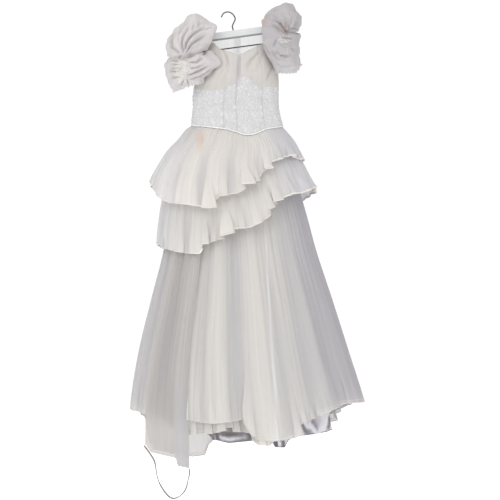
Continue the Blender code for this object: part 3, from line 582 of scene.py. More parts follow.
class Layer:
    """A layer of cloth that hangs from the waist, with gathers and with folds that roll over at its hem.

    Insets are taken off the outline at the waist and further down. Waves are the heights of broad, loose and
    fine ripples and of the gathers.
    """

    def __init__(self, sections, folds, hem_front, hem_back, insets, waves, seed, rolls=(), behind=()):
        self.sections = sections
        self.folds = folds
        self.hem_front = np.array(hem_front, float)
        self.hem_back = np.array(hem_back, float)
        self.insets = insets
        self.waves = waves
        self.broad = ripples(seed, 8, 22, 9)
        self.loose = ripples(seed + 1, 24, 58, 12)
        self.fine = ripples(seed + 2, 62, 128, 14)
        self.known = {}
        self.rolls = [(self.angle_at(across), *rest) for across, *rest in rolls] + list(behind)

    def angle_at(self, across):
        """Front angle at which the hem passes a place across."""
        angles = np.linspace(2.0, 178.0, 353)
        places = self.surface(angles, self.base_hem(angles), 0.0, False)[0][:, 0]
        return float(np.interp(-across, -places, angles))

    def surface(self, degrees, drop, out=0.0, rolled=True):
        """Places on the layer in millimetres, and how far its folds rise there."""
        degrees, drop = np.broadcast_arrays(np.asarray(degrees, float), np.asarray(drop, float))
        rise = np.zeros(degrees.shape)
        for centre, half_width, height, start, full in self.folds:
            away = np.minimum(np.abs((degrees - centre + 180) % 360 - 180) / half_width, 1.0)
            rise += height * np.cos(away * math.pi / 2) ** 2 * soft((drop - start) / (full - start))
        angle = degrees.copy()
        if rolled:
            turn = np.radians(degrees)
            broad, loose, fine, gathered = self.waves
            full = soft((drop - 30) / 380)
            rise += broad * wave_sum(self.broad, turn, drop) * full
            rise += loose * wave_sum(self.loose, turn, drop) * soft((drop - 10) / 220)
            rise += fine * wave_sum(self.fine, turn, drop) * (0.35 + 0.65 * full)
            rise += gathered * wave_sum(self.fine, turn, drop * 0.3) * (1 - soft((drop - 5) / 130))
            above = self.hem(degrees) - drop
            for centre, half_width, height, overhang, lean, length in self.rolls:
                away = ((degrees - centre + 180) % 360 - 180) / half_width
                inside = np.abs(away) < 1
                near_hem = soft(1 - above / length) * inside
                bump = np.cos(np.clip(away, -1, 1) * math.pi / 2) ** 2
                rise += height * bump * near_hem
                angle += (half_width * overhang * np.sin(2 * math.pi * away) + lean * bump) * near_hem
        inset = self.insets[0] + (self.insets[1] - self.insets[0]) * soft(drop / 450)
        section = smooth_columns(self.sections, drop)
        right, left, front, back = np.moveaxis(section, -1, 0)
        turn = np.radians(angle)
        half = (left - right) / 2
        depth = np.where(np.sin(turn) > 0, front, back)
        across = np.cos(turn) / half
        forward = -np.sin(turn) / depth
        size = np.hypot(across, forward)
        moved = rise - inset + out
        x = (left + right) / 2 + half * np.cos(turn) + across / size * moved
        y = -depth * np.sin(turn) + forward / size * moved
        z = each(waist, degrees % 360) - WAIST_GAP - drop
        return np.stack([x, y, z], -1), rise

    def base_hem(self, degrees):
        """Drop from the waist to the hem that is drawn across the layer."""
        front = np.sin(np.radians(degrees)) > 0
        drop = np.full(degrees.shape, 20.0)
        step = 16.0
        while step > 0.2:
            going = np.ones(degrees.shape, bool)
            while going.any():
                places = self.surface(degrees, drop, 0.0, False)[0]
                hem = np.where(front, np.interp(places[..., 0], *self.hem_front.T),
                               np.interp(places[..., 0], *self.hem_back.T))
                going &= places[..., 2] > hem
                drop = np.where(going, drop + step, drop)
            drop -= step
            step /= 4
        return drop

    def hem(self, degrees):
        """The same drop, looked up where it is known."""
        unique, place = np.unique(np.round(degrees % 360, 5), return_inverse=True)
        new = np.array([value for value in unique.tolist() if value not in self.known])
        if len(new):
            self.known.update(zip(new.tolist(), self.base_hem(new).tolist()))
        return np.array([self.known[value] for value in unique.tolist()])[place].reshape(np.shape(degrees))

    def grid(self, degrees, rows, out=0.0):
        """Rows of places down the layer, and the rise of the folds."""
        angles = np.asarray(degrees, float)[None, :]
        return self.surface(angles, self.hem(angles) * row_shares(rows)[:, None], out)

    def line(self, degrees, above, out):
        """A line that runs at one height above the hem."""
        angles = np.asarray(degrees, float)
        return [Vector(place) for place in self.surface(angles, self.hem(angles) - above, out)[0].tolist()]


def columns_around(count, start=0.0, end=360.0, closed=True):
    return np.linspace(start, end, count, endpoint=not closed)


def crease_rise(x, z, rows):
    """Height of soft creases on arrays of places. Each has a half width, a rise and a route, and fades to its end."""
    rise = np.zeros(x.shape)
    for half_width, height, *route in rows:
        nearest = np.full(x.shape, 1e6)
        share = np.zeros(x.shape)
        runs = len(route) - 1
        for index, (low, high) in enumerate(zip(route, route[1:])):
            along = (high[0] - low[0], high[1] - low[1])
            length = along[0] ** 2 + along[1] ** 2
            part = np.clip(((x - low[0]) * along[0] + (z - low[1]) * along[1]) / length, 0, 1)
            gap = np.hypot(x - low[0] - part * along[0], z - low[1] - part * along[1])
            share = np.where(gap < nearest, (index + part) / runs, share)
            nearest = np.minimum(gap, nearest)
        away = nearest / (half_width * (0.6 + 0.8 * share))
        rise += height * (1 - away**2) * np.exp(-(away**2) / 2) * soft(share * 8 + 0.5) * soft((1 - share) * 2.0)
    return rise


SPREAD = {}  # how wide and how long each piece of cloth is, in metres


def cloth(name, grid, material, closed=False, nodes=(), tones=None):
    """A shell from rows of points in millimetres, with UVs in metres across and down."""
    points = np.array([[tuple(point) for point in line] for line in grid]) * MM
    rows, columns = points.shape[:2]
    across = np.linalg.norm(np.roll(points, -1, axis=1) - points, axis=2)
    spans = columns if closed else columns - 1
    u = np.concatenate([[0.0], np.cumsum(across[rows // 2])])[:spans + 1]
    down = np.linalg.norm(points[1:, columns // 4] - points[:-1, columns // 4], axis=1)
    v = np.concatenate([[0.0], np.cumsum(down)])
    SPREAD[name] = (float(across[:, :spans].sum(axis=1).max()), float(v[-1]))
    faces = []
    places = []
    for row in range(rows - 1):
        for column in range(spans):
            after = (column + 1) % columns
            faces.append((row * columns + column, (row + 1) * columns + column,
                          (row + 1) * columns + after, row * columns + after))
            for r, c in ((row, column), (row + 1, column), (row + 1, column + 1), (row, column + 1)):
                places.extend((u[c], -v[r]))
    mesh = bpy.data.meshes.new(name)
    mesh.from_pydata(points.reshape(-1, 3).tolist(), [], faces)
    mesh.uv_layers.new(name="UVMap").data.foreach_set("uv", places)
    for label, values in (tones or {}).items():
        mesh.attributes.new(label, "FLOAT", "POINT").data.foreach_set("value", np.ravel(values))
    mesh.shade_smooth()
    return piece(name, mesh, material, nodes)


def piece(name, data, material, nodes=()):
    """An object that rides on the dress and stands for its solids, if it has any."""
    obj = bpy.data.objects.new(name, data)
    bpy.context.scene.collection.objects.link(obj)
    if material:
        obj.data.materials.append(material)
    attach(obj, "root")
    if nodes:
        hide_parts(*nodes)
    return obj


def rim(name, line, material, wide, high, closed=False, nodes=(), sides=8, sizes=None):
    """A rolled edge: an oval tube along a line of points, wide across the cloth and high along it."""
    count = len(line)
    grid = []
    for index, point in enumerate(line):
        before = line[(index - 1) % count] if closed else line[max(index - 1, 0)]
        after = line[(index + 1) % count] if closed else line[min(index + 1, count - 1)]
        along = (after - before).normalized()
        up = Vector((0, 0, 1))
        up = (up - along * up.dot(along)).normalized()
        out = along.cross(up)
        ring = []
        for side in range(sides):
            turn = 2 * math.pi * side / sides
            size = sizes[index] if sizes else 1.0
            ring.append(point + out * wide * size * math.cos(turn) + up * high * size * math.sin(turn))
        grid.append(ring)
    if closed:
        grid.append(grid[0])
    return cloth(name, grid, material, True, nodes)


def declare(obj, fullness=1.0):
    """Works out how large the cloth of a piece was cut, from what shows of it and how full it is gathered, and keeps
    nothing of it.
    """
    wide, long = SPREAD[obj.name]
    area = sum(face.area for face in obj.data.polygons) * fullness
    round(wide * fullness, 3)
    round(min(area, wide * fullness * long), 4)


# Materials

class Value:
    """A shader value whose arithmetic adds the nodes for it."""

    def __init__(self, board, socket):
        self.board = board
        self.socket = socket

    def maths(self, operation, first, second=None):
        inputs = {0: first}
        if second is not None:
            inputs[1] = second
        return self.board.node("ShaderNodeMath", inputs, operation=operation)

    def __add__(self, other):
        return self.maths("ADD", self, other)

    __radd__ = __add__

    def __mul__(self, other):
        return self.maths("MULTIPLY", self, other)

    __rmul__ = __mul__

    def __sub__(self, other):
        return self.maths("SUBTRACT", self, other)

    def __rsub__(self, other):
        return self.maths("SUBTRACT", other, self)


class Board:
    """Short calls for the nodes of a tree."""

    def __init__(self, tree):
        self.tree = tree

    def node(self, kind, inputs=None, output=0, **settings):
        node = self.tree.nodes.new(kind)
        for key, value in settings.items():
            setattr(node, key, value)
        for key, value in (inputs or {}).items():
            self.put(node.inputs[key], value)
        return Value(self, node.outputs[output])

    def put(self, socket, value):
        if isinstance(value, Value):
            self.tree.links.new(value.socket, socket)
        else:
            socket.default_value = value

    def joined(self, x, y, z=0.0):
        return self.node("ShaderNodeCombineXYZ", {0: x, 1: y, 2: z})

    def parted(self, vector, *places):
        parts = self.tree.nodes.new("ShaderNodeSeparateXYZ")
        self.put(parts.inputs[0], vector)
        return [Value(self, parts.outputs[place]) for place in places]

    def noise(self, where, scale, detail=3.0, rough=0.5):
        return self.node("ShaderNodeTexNoise", {"Vector": where, "Scale": scale, "Detail": detail,
                                                "Roughness": rough})

    def cells(self, where, scale, output="Distance", **settings):
        return self.node("ShaderNodeTexVoronoi", {"Vector": where, "Scale": scale}, output, **settings)

    def ramp(self, value, low, high, out_low=0.0, out_high=1.0):
        return self.node("ShaderNodeMapRange", {"Value": value, "From Min": low, "From Max": high,
                                                "To Min": out_low, "To Max": out_high},
                         interpolation_type="SMOOTHSTEP")

    def colour_mix(self, share, first, second):
        node = self.tree.nodes.new("ShaderNodeMix")
        node.data_type = "RGBA"
        self.put(node.inputs[0], share)
        self.put(node.inputs[6], first)
        self.put(node.inputs[7], second)
        return Value(self, node.outputs[2])


class Paint(Board):
    """A material."""

    def __init__(self, name):
        self.material = bpy.data.materials.new(name)
        self.material.use_nodes = True
        super().__init__(self.material.node_tree)
        self.shader = self.tree.nodes["Principled BSDF"]
        self.output = self.tree.nodes["Material Output"]

    def set(self, **values):
        for key, value in values.items():
            self.put(self.shader.inputs[key.replace("_", " ")], value)

    def place(self):
        return self.node("ShaderNodeTexCoord", output="Object")

    def tone(self, name):
        """A tone kept on the points of the mesh."""
        return self.node("ShaderNodeAttribute", output="Fac", attribute_name=name)

    def across_down(self):
        return self.parted(self.node("ShaderNodeUVMap", uv_map="UVMap"), 0, 1)

    def near(self, place, centre, radius, stretch):
        """1 at a point of the object, falling to 0 at a radius from it, and stretched upright."""
        away = self.node("ShaderNodeVectorMath", {0: place, 1: tuple(c * MM for c in centre)}, operation="SUBTRACT")
        flat = self.node("ShaderNodeVectorMath", {0: away, 1: (1.0, 0.3, 1 / stretch)}, operation="MULTIPLY")
        return self.ramp(self.node("ShaderNodeVectorMath", {0: flat}, "Value", operation="LENGTH"), 0.0, radius * MM,
                         1.0, 0.0)

    def bump(self, height, strength, distance):
        return self.node("ShaderNodeBump", {"Height": height, "Strength": strength, "Distance": distance})

    def finish(self, see_through=0.0, glow_through=0.0, tint=None):
        """Mix light that passes through the cloth into the surface."""
        last = Value(self, self.shader.outputs[0])
        if glow_through:
            inner = self.tree.nodes.new("ShaderNodeBsdfTranslucent")
            self.put(inner.inputs[0], tint)
            last = self.node("ShaderNodeMixShader", {0: glow_through, 1: last, 2: Value(self, inner.outputs[0])})
        if see_through:
            clear = self.tree.nodes.new("ShaderNodeBsdfTransparent")
            last = self.node("ShaderNodeMixShader", {0: see_through, 1: last, 2: Value(self, clear.outputs[0])})
        self.put(self.output.inputs[0], last)
        return self.material


def colour(red, green, blue):
    """A colour given as it looks on screen, from 0 to 255, as a linear shader colour."""
    linear = []
    for part in (red, green, blue):
        part /= 255.0
        linear.append(part / 12.92 if part <= 0.04045 else ((part + 0.055) / 1.055) ** 2.4)
    return (*linear, 1.0)


def darker(tint, share):
    return tuple(part * share for part in tint[:3]) + (1.0,)


def fine_weave(paint, u, v, thread):
    """Height of a plain weave with a given thread spacing in metres."""
    turn = 2 * math.pi / thread
    warp = paint.node("ShaderNodeMath", {0: u * turn}, operation="SINE")
    weft = paint.node("ShaderNodeMath", {0: v * turn}, operation="SINE")
    return warp * weft


THREAD = 0.0009  # spacing of the chiffon's threads, in metres
LOW_CLOTH = (-1.47, -1.27)  # heights, in metres, between which a tint for the lowest cloth fades out


def chiffon(name, pale, shade, trough_shade, see_through, glow_through, crinkle=1.0, stains=(), warm=None, gleaming=None,
            bare=None, low=None):
    """Soft cloth with fine upright streaks, and painted shade: pale on the tops of its folds, darker in their
    troughs.
    """
    paint = Paint(name)
    u, v = paint.across_down()
    streaks = paint.noise(paint.joined(u * 110.0, v * 1.6), 1.0, 3.0, 0.55)
    broad = paint.noise(paint.joined(u * 15.0, v * 0.9, 3.0), 1.0, 2.0)
    threads = fine_weave(paint, u, v, THREAD)
    slubs = paint.noise(paint.joined(u * 700.0, v * 40.0), 1.0, 2.0)
    crest = paint.tone("crest")
    base = paint.colour_mix(paint.ramp(streaks * 0.35 + broad * 0.65, 0.36, 0.64), shade, pale)
    # Painted shade: a cool grey band on the yoke, in the gap between the cups.
    if warm:
        base = paint.colour_mix(paint.tone("warm"), warm, base)
    # Painted shade: the colour goes darker in the troughs of the folds, following a tone kept on the mesh.
    base = paint.colour_mix(paint.ramp(crest + streaks * 0.3 - 0.15, 0.05, 0.62, 1.0, 0.0), base, trough_shade)
    # Painted shade towards the sides of the dress, most on the +X side; on the skirts it is also the greyer look of
    # one layer with no satin behind it.
    if bare:
        base = paint.colour_mix(paint.tone("bare"), base, bare)
    place = paint.place()
    if low:
        height, = paint.parted(place, 2)
        base = paint.colour_mix(paint.ramp(height, *LOW_CLOTH, 1.0, 0.0), base, low)
    for centre, radius, stretch, share, tint in stains:
        mottled = paint.near(place, centre, radius, stretch) * paint.ramp(streaks, 0.3, 0.7, 0.3, 1.0) * share
        base = paint.colour_mix(mottled, base, tint)
    rough = paint.ramp(slubs, 0.3, 0.7, 0.6, 0.74)
    # Painted highlight along one fold of the skirt, where satin shows through.
    if gleaming:
        shine = paint.tone("gleam") * paint.ramp(streaks, 0.25, 0.7, 0.7, 1.0)
        base = paint.colour_mix(shine, base, gleaming)
        rough = rough - shine * 0.25
    height = threads * 0.12 + slubs * 0.25 + streaks * crinkle
    paint.set(Base_Color=base, Roughness=rough, Normal=paint.bump(height, 0.5, 0.0011))
    paint.set(Sheen_Weight=0.12, Sheen_Roughness=0.5, Specular_IOR_Level=0.25)
    veil = paint.ramp(streaks * 0.7 + slubs * 0.3, 0.3, 0.7, see_through * 1.25, see_through * 0.75)
    return paint.finish(veil if see_through else 0.0, glow_through, pale)


def satin(name, pale, shade, rough=0.3, wrinkle=1.0, glow_through=0.0, toned=False):
    """Smooth cloth in soft wrinkles. Toned satin takes painted light and shade from a tone on its mesh: from its
    folds, and on the lining also from where it is lit or in shade.
    """
    paint = Paint(name)
    u, v = paint.across_down()
    folds = paint.noise(paint.joined(u * 14.0, v * 3.5), 1.0, 2.0, 0.45)
    fine = paint.noise(paint.joined(u * 1400.0, v * 60.0), 1.0, 1.0)
    if toned:
        # Painted light and shade, from the tone on the mesh.
        tone = paint.ramp(paint.tone("crest") * 0.8 + folds * 0.4 - 0.1, 0.25, 0.8)
    else:
        tone = paint.ramp(folds, 0.35, 0.65)
    paint.set(Base_Color=paint.colour_mix(tone, shade, pale),
              Normal=paint.bump(folds * wrinkle + fine * 0.03, 0.5, 0.004),
              Roughness=paint.ramp(fine, 0.3, 0.7, rough, rough + 0.08))
    paint.set(Specular_IOR_Level=0.6, Anisotropic=0.3)
    return paint.finish(0.0, glow_through, pale)


def lace_cloth(name, pale, shade, scale=1.0):
    """Raised lace: curling cords and petals over a fine net, with small sequins."""
    paint = Paint(name)
    u, v = paint.across_down()
    flat = paint.joined(u, v)
    warped = paint.node("ShaderNodeVectorMath", {0: flat, 1: paint.node(
        "ShaderNodeTexNoise", {"Vector": flat, "Scale": 45.0 * scale}, "Color") * 0.016}, operation="ADD")
    petals = paint.cells(warped, 95.0 * scale)
    cords = paint.cells(warped, 70.0 * scale, feature="DISTANCE_TO_EDGE")
    sequins = paint.cells(flat, 300.0 * scale)
    net = paint.ramp(paint.cells(flat, 420.0 * scale, feature="DISTANCE_TO_EDGE"), 0.02, 0.14, 1.0, 0.0)
    patches = paint.noise(paint.joined(u * 60.0, v * 22.0), 1.0, 2.0)
    relief = (paint.ramp(petals, 0.1, 0.5, 1.0, 0.0) * 0.6 + paint.ramp(cords, 0.02, 0.10, 1.0, 0.0) * 0.7
              + paint.ramp(sequins, 0.1, 0.45, 0.22, 0.0) + net * 0.1)
    base = paint.colour_mix(paint.ramp(relief * 0.8 + patches * 0.5, 0.2, 0.85), shade, pale)
    # Darker along the seams of the bodice: the seam line, and painted shade in its groove.
    base = paint.colour_mix(paint.ramp(paint.tone("crest"), 0.0, 0.5, 0.35, 0.0), base, darker(shade, 0.72))
    paint.set(Base_Color=base, Normal=paint.bump(relief, 1.0, 0.0018),
              Roughness=paint.ramp(relief, 0.1, 0.9, 0.75, 0.4))
    paint.set(Specular_IOR_Level=0.5)
    return paint.finish()


def plain(name, tint, rough, metallic=0.0, coat=0.0, scratch=0.0, grain=400.0):
    """One tint with a fine grain."""
    paint = Paint(name)
    specks = paint.noise(paint.place(), grain, 3.0)
    paint.set(Base_Color=paint.colour_mix(paint.ramp(specks, 0.3, 0.75), tint, darker(tint, 0.93)),
              Roughness=paint.ramp(specks, 0.3, 0.7, rough, rough + 0.1),
              Normal=paint.bump(specks, scratch, 0.0005))
    paint.set(Metallic=metallic, Coat_Weight=coat, Coat_Roughness=0.15)
    return paint.finish()


def painted_bar(name):
    """White paint on wood, darker grey on its lowest few millimetres, which shows as a line below the bar."""
    paint = Paint(name)
    x, z = paint.parted(paint.place(), 0, 2)
    slope = math.tan(BAR_TILT)
    above = z - x * slope - (BAR_CENTRE.z - BAR_CENTRE.x * slope - BAR_HEIGHT / 2 / math.cos(BAR_TILT)) * MM
    grain = paint.noise(paint.joined(x * 30.0, z * 420.0), 1.0, 3.0)
    white = paint.colour_mix(paint.ramp(grain, 0.3, 0.7), colour(204, 207, 209), colour(210, 213, 215))
    base = paint.colour_mix(paint.ramp(above, 0.0048, 0.0078), colour(138, 139, 138), white)
    paint.set(Base_Color=base, Roughness=paint.ramp(grain, 0.3, 0.7, 0.3, 0.4),
              Normal=paint.bump(grain, 0.08, 0.0004))
    paint.set(Coat_Weight=0.3, Coat_Roughness=0.2)
    return paint.finish()


RUST = colour(206, 148, 118)
WARM = colour(222, 192, 172)
ROSE = colour(176, 146, 138)
SHADED_SIDE = colour(189, 187, 194)  # chiffon at the sides: one layer with no satin behind it, and painted shade, most on the +X side
# A stain is a place, a radius, how far it is stretched upright, a strength and a tint
FINISHES = {
    "bar": painted_bar("bar_paint"),
    "hook": plain("hook_chrome", colour(96, 96, 98), 0.24, 1.0, grain=900.0),
    "rod": plain("rod_steel", colour(92, 91, 88), 0.35, 1.0, grain=900.0),
    # The yoke's cool grey colour is painted shade in the gap between its cups.
    "yoke": chiffon("yoke_chiffon", colour(193, 190, 187), colour(187, 183, 179), colour(172, 168, 165),
                    0.0, 0.0, 0.5, warm=colour(184, 182, 183)),
    # The back yoke and its placket are near white, much paler than the front's chiffon: painted light, so that the
    # back seen in shade through the neck looks light.
    "back_yoke": chiffon("back_yoke_chiffon", colour(247, 247, 246), colour(243, 243, 242), colour(240, 240, 239),
                         0.12, 0.65, 0.4),
    "placket": satin("placket_satin", colour(250, 250, 249), colour(246, 246, 245), 0.3, 0.4, 0.65),
    "lace": lace_cloth("midriff_lace", colour(221, 221, 222), colour(199, 199, 202), 1.3),
    "motif": plain("lace_motif", colour(223, 223, 223), 0.4, grain=1500.0, scratch=0.5),
    "folded_lace": lace_cloth("folded_lace", colour(206, 203, 205), colour(186, 182, 184), 1.4),
    "applique": lace_cloth("applique_lace", colour(234, 231, 228), colour(214, 210, 208), 1.4),
    # The flounce's, the skirts' and the organza's colours for their sides are painted shade.
    "flounce": chiffon("flounce_chiffon", colour(228, 225, 221), colour(221, 218, 215), colour(205, 203, 204),
                       0.10, 0.25, bare=colour(208, 207, 213),
                       stains=(((-98, -66, -468), 24, 3.2, 0.8, WARM), ((-92, -62, -472), 9, 5.0, 0.7, RUST),
                               ((-116, -66, -440), 16, 1.5, 0.5, WARM))),
    "skirt": chiffon("skirt_chiffon", colour(226, 224, 221), colour(219, 217, 215), colour(204, 203, 205), 0.12, 0.3,
                     gleaming=colour(244, 244, 250), bare=SHADED_SIDE),
    "under": chiffon("under_chiffon", colour(220, 217, 212), colour(210, 207, 203), colour(196, 194, 193), 0.10, 0.3,
                     bare=SHADED_SIDE),
    # The train's chiffon is darker than the skirt's: painted shade, for the inside of the back panel seen in shade
    # below the front hems; its tint for the lowest cloth is darker again.
    "train": chiffon("train_chiffon", colour(196, 193, 190), colour(189, 186, 185), colour(176, 174, 176), 0.14, 0.25,
                     low=colour(186, 183, 182)),
    "facing": chiffon("facing_chiffon", colour(206, 204, 203), colour(201, 199, 199), colour(192, 190, 192),
                      0.30, 0.25, low=colour(203, 201, 205)),
    "organza": chiffon("organza", colour(219, 216, 216), colour(209, 206, 207), colour(186, 182, 182), 0.05, 0.3, 0.4,
                       stains=(((200, -66, -62), 34, 1.0, 0.8, ROSE), ((129, -14, -34), 26, 1.6, 1.0, RUST),
                               ((-92, -60, -152), 34, 0.6, 0.7, ROSE)), bare=colour(190, 187, 190)),
    # The lining's pale and dark colours are its painted light and painted shade.
    "lining": satin("lining_satin", colour(222, 221, 227), colour(132, 129, 135), 0.26, toned=True),
    "edge": satin("edge_satin", colour(216, 213, 208), colour(198, 194, 188), 0.4, 0.4),
    "hem": satin("hem_satin", colour(212, 209, 204), colour(196, 192, 186), 0.4, 0.4),
    "piping": satin("piping_satin", colour(238, 238, 238), colour(228, 228, 229), 0.4, 0.4),
    "ribbon": satin("ribbon_satin", colour(142, 139, 136), colour(116, 113, 110), 0.4, 0.5),
    "pearl": plain("pearl", colour(233, 230, 227), 0.22, coat=0.8, grain=300.0),
    "thread": plain("thread", colour(196, 191, 185), 0.6, grain=2000.0),
}


# Hanger

def dress_hanger():
    """The bar and the rod are their solids; the hook gets a smooth wire around its solid."""
    for node, finish in (("hanger_bar", "bar"), ("hanger_rod", "rod")):
        solid = bpy.data.objects[node]
        for slot in solid.material_slots:
            slot.material = FINISHES[finish]
    wire = bmesh.new()
    wire.from_mesh(bpy.data.objects["hanger_hook"].data)
    bmesh.ops.remove_doubles(wire, verts=wire.verts, dist=1e-5)
    for vert, normal in [(vert, vert.normal.copy()) for vert in wire.verts]:
        vert.co += normal * HOOK_COATING
    data = bpy.data.meshes.new("hook_wire")
    wire.to_mesh(data)
    wire.free()
    data.shade_smooth()
    piece("hook_wire", data, FINISHES["hook"], ["hanger_hook"])


# Bodice

# Cups under the chiffon. Columns: across, height, half width, half height, rise
CUPS = ((-36, -214, 62, 60, 5.0), (106, -206, 58, 58, 6.0))
# Creases of the draped chiffon: half width, rise (a trough is negative), and a route of places across and up
YOKE_CREASES = (
    (10, -3.0, (43, -160), (39, -204), (32, -262)),
    (9, -1.8, (112, -144), (80, -176), (52, -227)),
    (14, 1.6, (135, -158), (126, -204), (108, -245)),
    (6, 1.2, (43, -224), (80, -222), (112, -227)),
    (7, -1.5, (-21, -125), (-3, -171), (11, -213)),
    (5, 1.1, (-14, -185), (-10, -213), (-8, -236)),
    (8, -1.5, (-31, -171), (-54, -222), (-95, -259)),
    (6, 1.1, (2, -199), (-21, -231), (-58, -268)),
    (6, -1.2, (163, -194), (144, -231), (135, -259)),
    (7, 1.1, (172, -176), (163, -213), (158, -250)),
    (5, -1.0, (15, -171), (25, -213), (15, -250)),
)
BACK_CREASES = (
    (8, -1.5, (-40, -120), (-20, -170), (0, -240)),
    (8, -1.5, (110, -100), (90, -160), (64, -240)),
    (9, 1.4, (-60, -150), (-50, -200), (-30, -260)),
    (9, 1.4, (136, -140), (120, -200), (100, -260)),
    (6, -1.0, (-80, -190), (-60, -230), (-40, -265)),
    (6, -1.0, (156, -180), (140, -230), (120, -265)),
)
SHADED_GAP = (34.0, 15.0)  # a band of painted shade between the cups: its place across the front, and its half width
NECK_EDGES = (("neck_edge_front", 14.0, 166.0), ("neck_edge_back", 194.0, 346.0))


def yoke_relief(x, y, z):
    front = y < 0
    rise = np.zeros(x.shape)
    for across, level, half_width, half_height, height_up in CUPS:
        away = np.hypot((x - across) / half_width, (z - level) / half_height)
        rise += np.where(front, height_up * (1 - soft(away)) - 0.7 * np.exp(-((away - 1.0) / 0.06) ** 2), 0)
    creases = np.where(front, crease_rise(x, z, YOKE_CREASES), crease_rise(x, z, BACK_CREASES))
    low = 0.35 * np.sin(x * 0.11 + z * 0.05) * np.sin(z * 0.06 + 1.0)
    return rise + creases + low


def lace_relief(x, y, z):
    return 0.4 * np.sin(x * 0.19 + 1.2) * np.sin(z * 0.045 + x * 0.03) + 0.25 * np.sin(x * 0.41) * np.sin(z * 0.11)


def yoke_tones(x, y, z):
    """Painted shade on the yoke: cool grey where the chiffon spans the gap between the cups, its own colour where it
    lies over a cup, and darker in its creases.
    """
    gap = 0.8 * np.exp(-((x - SHADED_GAP[0] - (z + 200) * 0.05) / SHADED_GAP[1] / 1.3) ** 2) * (y < 0)
    return {"warm": 1 - gap, "crest": np.clip(0.55 + crease_rise(x, z, YOKE_CREASES) * 0.22 * (y < 0), 0, 1)}


def fine_panel(name, finish, start, end, top, bottom, columns, rows, relief, out=0.2, tones=None):
    """One piece of the bodice between two seams and two edges, drawn in at its seams."""
    grid = np.zeros((rows, columns, 3))
    turned = np.zeros((rows, columns))
    seam = np.zeros((rows, columns))
    for row in range(rows):
        for column in range(columns):
            share = column / (columns - 1)
            height = -250.0  # anywhere on the bodice: the rounds below bring it to its place
            for _ in range(6):
                first = start(height) if callable(start) else start
                last = end(height) if callable(end) else end
                degrees = first + (last - first) * share
                high = top(round(degrees, 2))
                low = bottom(round(degrees, 2))
                height = high + (low - high) * row / (rows - 1)
            grid[row, column] = body_point(degrees, height)
            turned[row, column] = degrees
            seam[row, column] = min(share, 1 - share) * (columns - 1) / 2.0
    x, y, z = np.moveaxis(grid, -1, 0)
    rise = out - 1.6 * (1 - soft(seam)) + relief(x, y, z)
    shaped = [[body_point(degrees, height, up) for degrees, height, up in zip(*line)]
              for line in zip(turned.tolist(), z.tolist(), rise.tolist())]
    # Without given tones, a tone that falls to 0 at the seams, for the seams' darker colour and painted shade.
    toned = tones(x, y, z) if tones else {"crest": soft(seam / 1.6)}
    made = cloth("cloth_" + name, shaped, FINISHES[finish], False, [name],
                 toned)
    declare(made)
    return made


def dress_bodice():
    def under_right(height):
        return 180.0 - armhole_right(height)

    def behind_right(height):
        return 180.0 + armhole_right(height)

    def under_left(height):
        return armhole_left(height)

    def behind_left(height):
        return 360.0 - armhole_left(height)

    midriff = (
        ("midriff_side_front_left", 0.0, PRINCESS_LEFT),
        ("midriff_front_left", PRINCESS_LEFT, CENTRE_FRONT),
        ("midriff_front_right", CENTRE_FRONT, PRINCESS_RIGHT),
        ("midriff_side_front_right", PRINCESS_RIGHT, 180.0),
        ("midriff_side_back_right", 180.0, BACK_SEAM_RIGHT),
        ("midriff_back_right", BACK_SEAM_RIGHT, CENTRE_BACK),
        ("midriff_back_left", CENTRE_BACK, BACK_SEAM_LEFT),
        ("midriff_side_back_left", BACK_SEAM_LEFT, 360.0),
    )
    lace = []
    for name, start, end in midriff:
        columns = max(14, int((end - start) * 1.1))
        lace.append(fine_panel(name, "lace", start, end, lace_top, waist, columns, 44, lace_relief))
    yoke = (
        ("yoke_side_front_left", under_left, PRINCESS_LEFT, 44, "yoke"),
        ("yoke_front_left", PRINCESS_LEFT, CENTRE_FRONT, 44, "yoke"),
        ("yoke_front_right", CENTRE_FRONT, PRINCESS_RIGHT, 24, "yoke"),
        ("yoke_side_front_right", PRINCESS_RIGHT, under_right, 56, "yoke"),
        ("yoke_back_right", behind_right, CENTRE_BACK, 60, "back_yoke"),
        ("yoke_back_left", CENTRE_BACK, behind_left, 60, "back_yoke"),
    )
    for name, start, end, columns, finish in yoke:
        fine_panel(name, finish, start, end, neck, lace_top, columns, 56, yoke_relief, tones=yoke_tones)

    def placket_edge(side):
        def edge(height):
            return CENTRE_BACK + side * PLACKET_WIDTH / 2 / arc_step(CENTRE_BACK, height)

        return edge

    fine_panel("back_placket", "placket", placket_edge(-1), placket_edge(1), neck,
               lambda degrees: waist(degrees) + PIPING_HEIGHT, 10, 60, lambda x, y, z: 0.0 * x, 2.2)
    around = columns_around(240)
    line = [body_point(degrees, waist(degrees) + PIPING_HEIGHT / 2 - 0.5, 1.0) for degrees in around.tolist()]
    sizes = [1.0 + 0.25 * math.sin(index * 1.9) for index in range(len(line))]
    rim("cloth_waist_piping", line, FINISHES["piping"], 1.5, 1.7, True, ["waist_piping"], sizes=sizes)
    for name, start, end in NECK_EDGES:
        along = columns_around(90, start, end, False).tolist()
        edge = [body_point(degrees, neck(degrees) - 0.6, 0.2) for degrees in along]
        rim(name, edge, FINISHES["thread"], 0.9, 1.1, sides=6)
    return lace


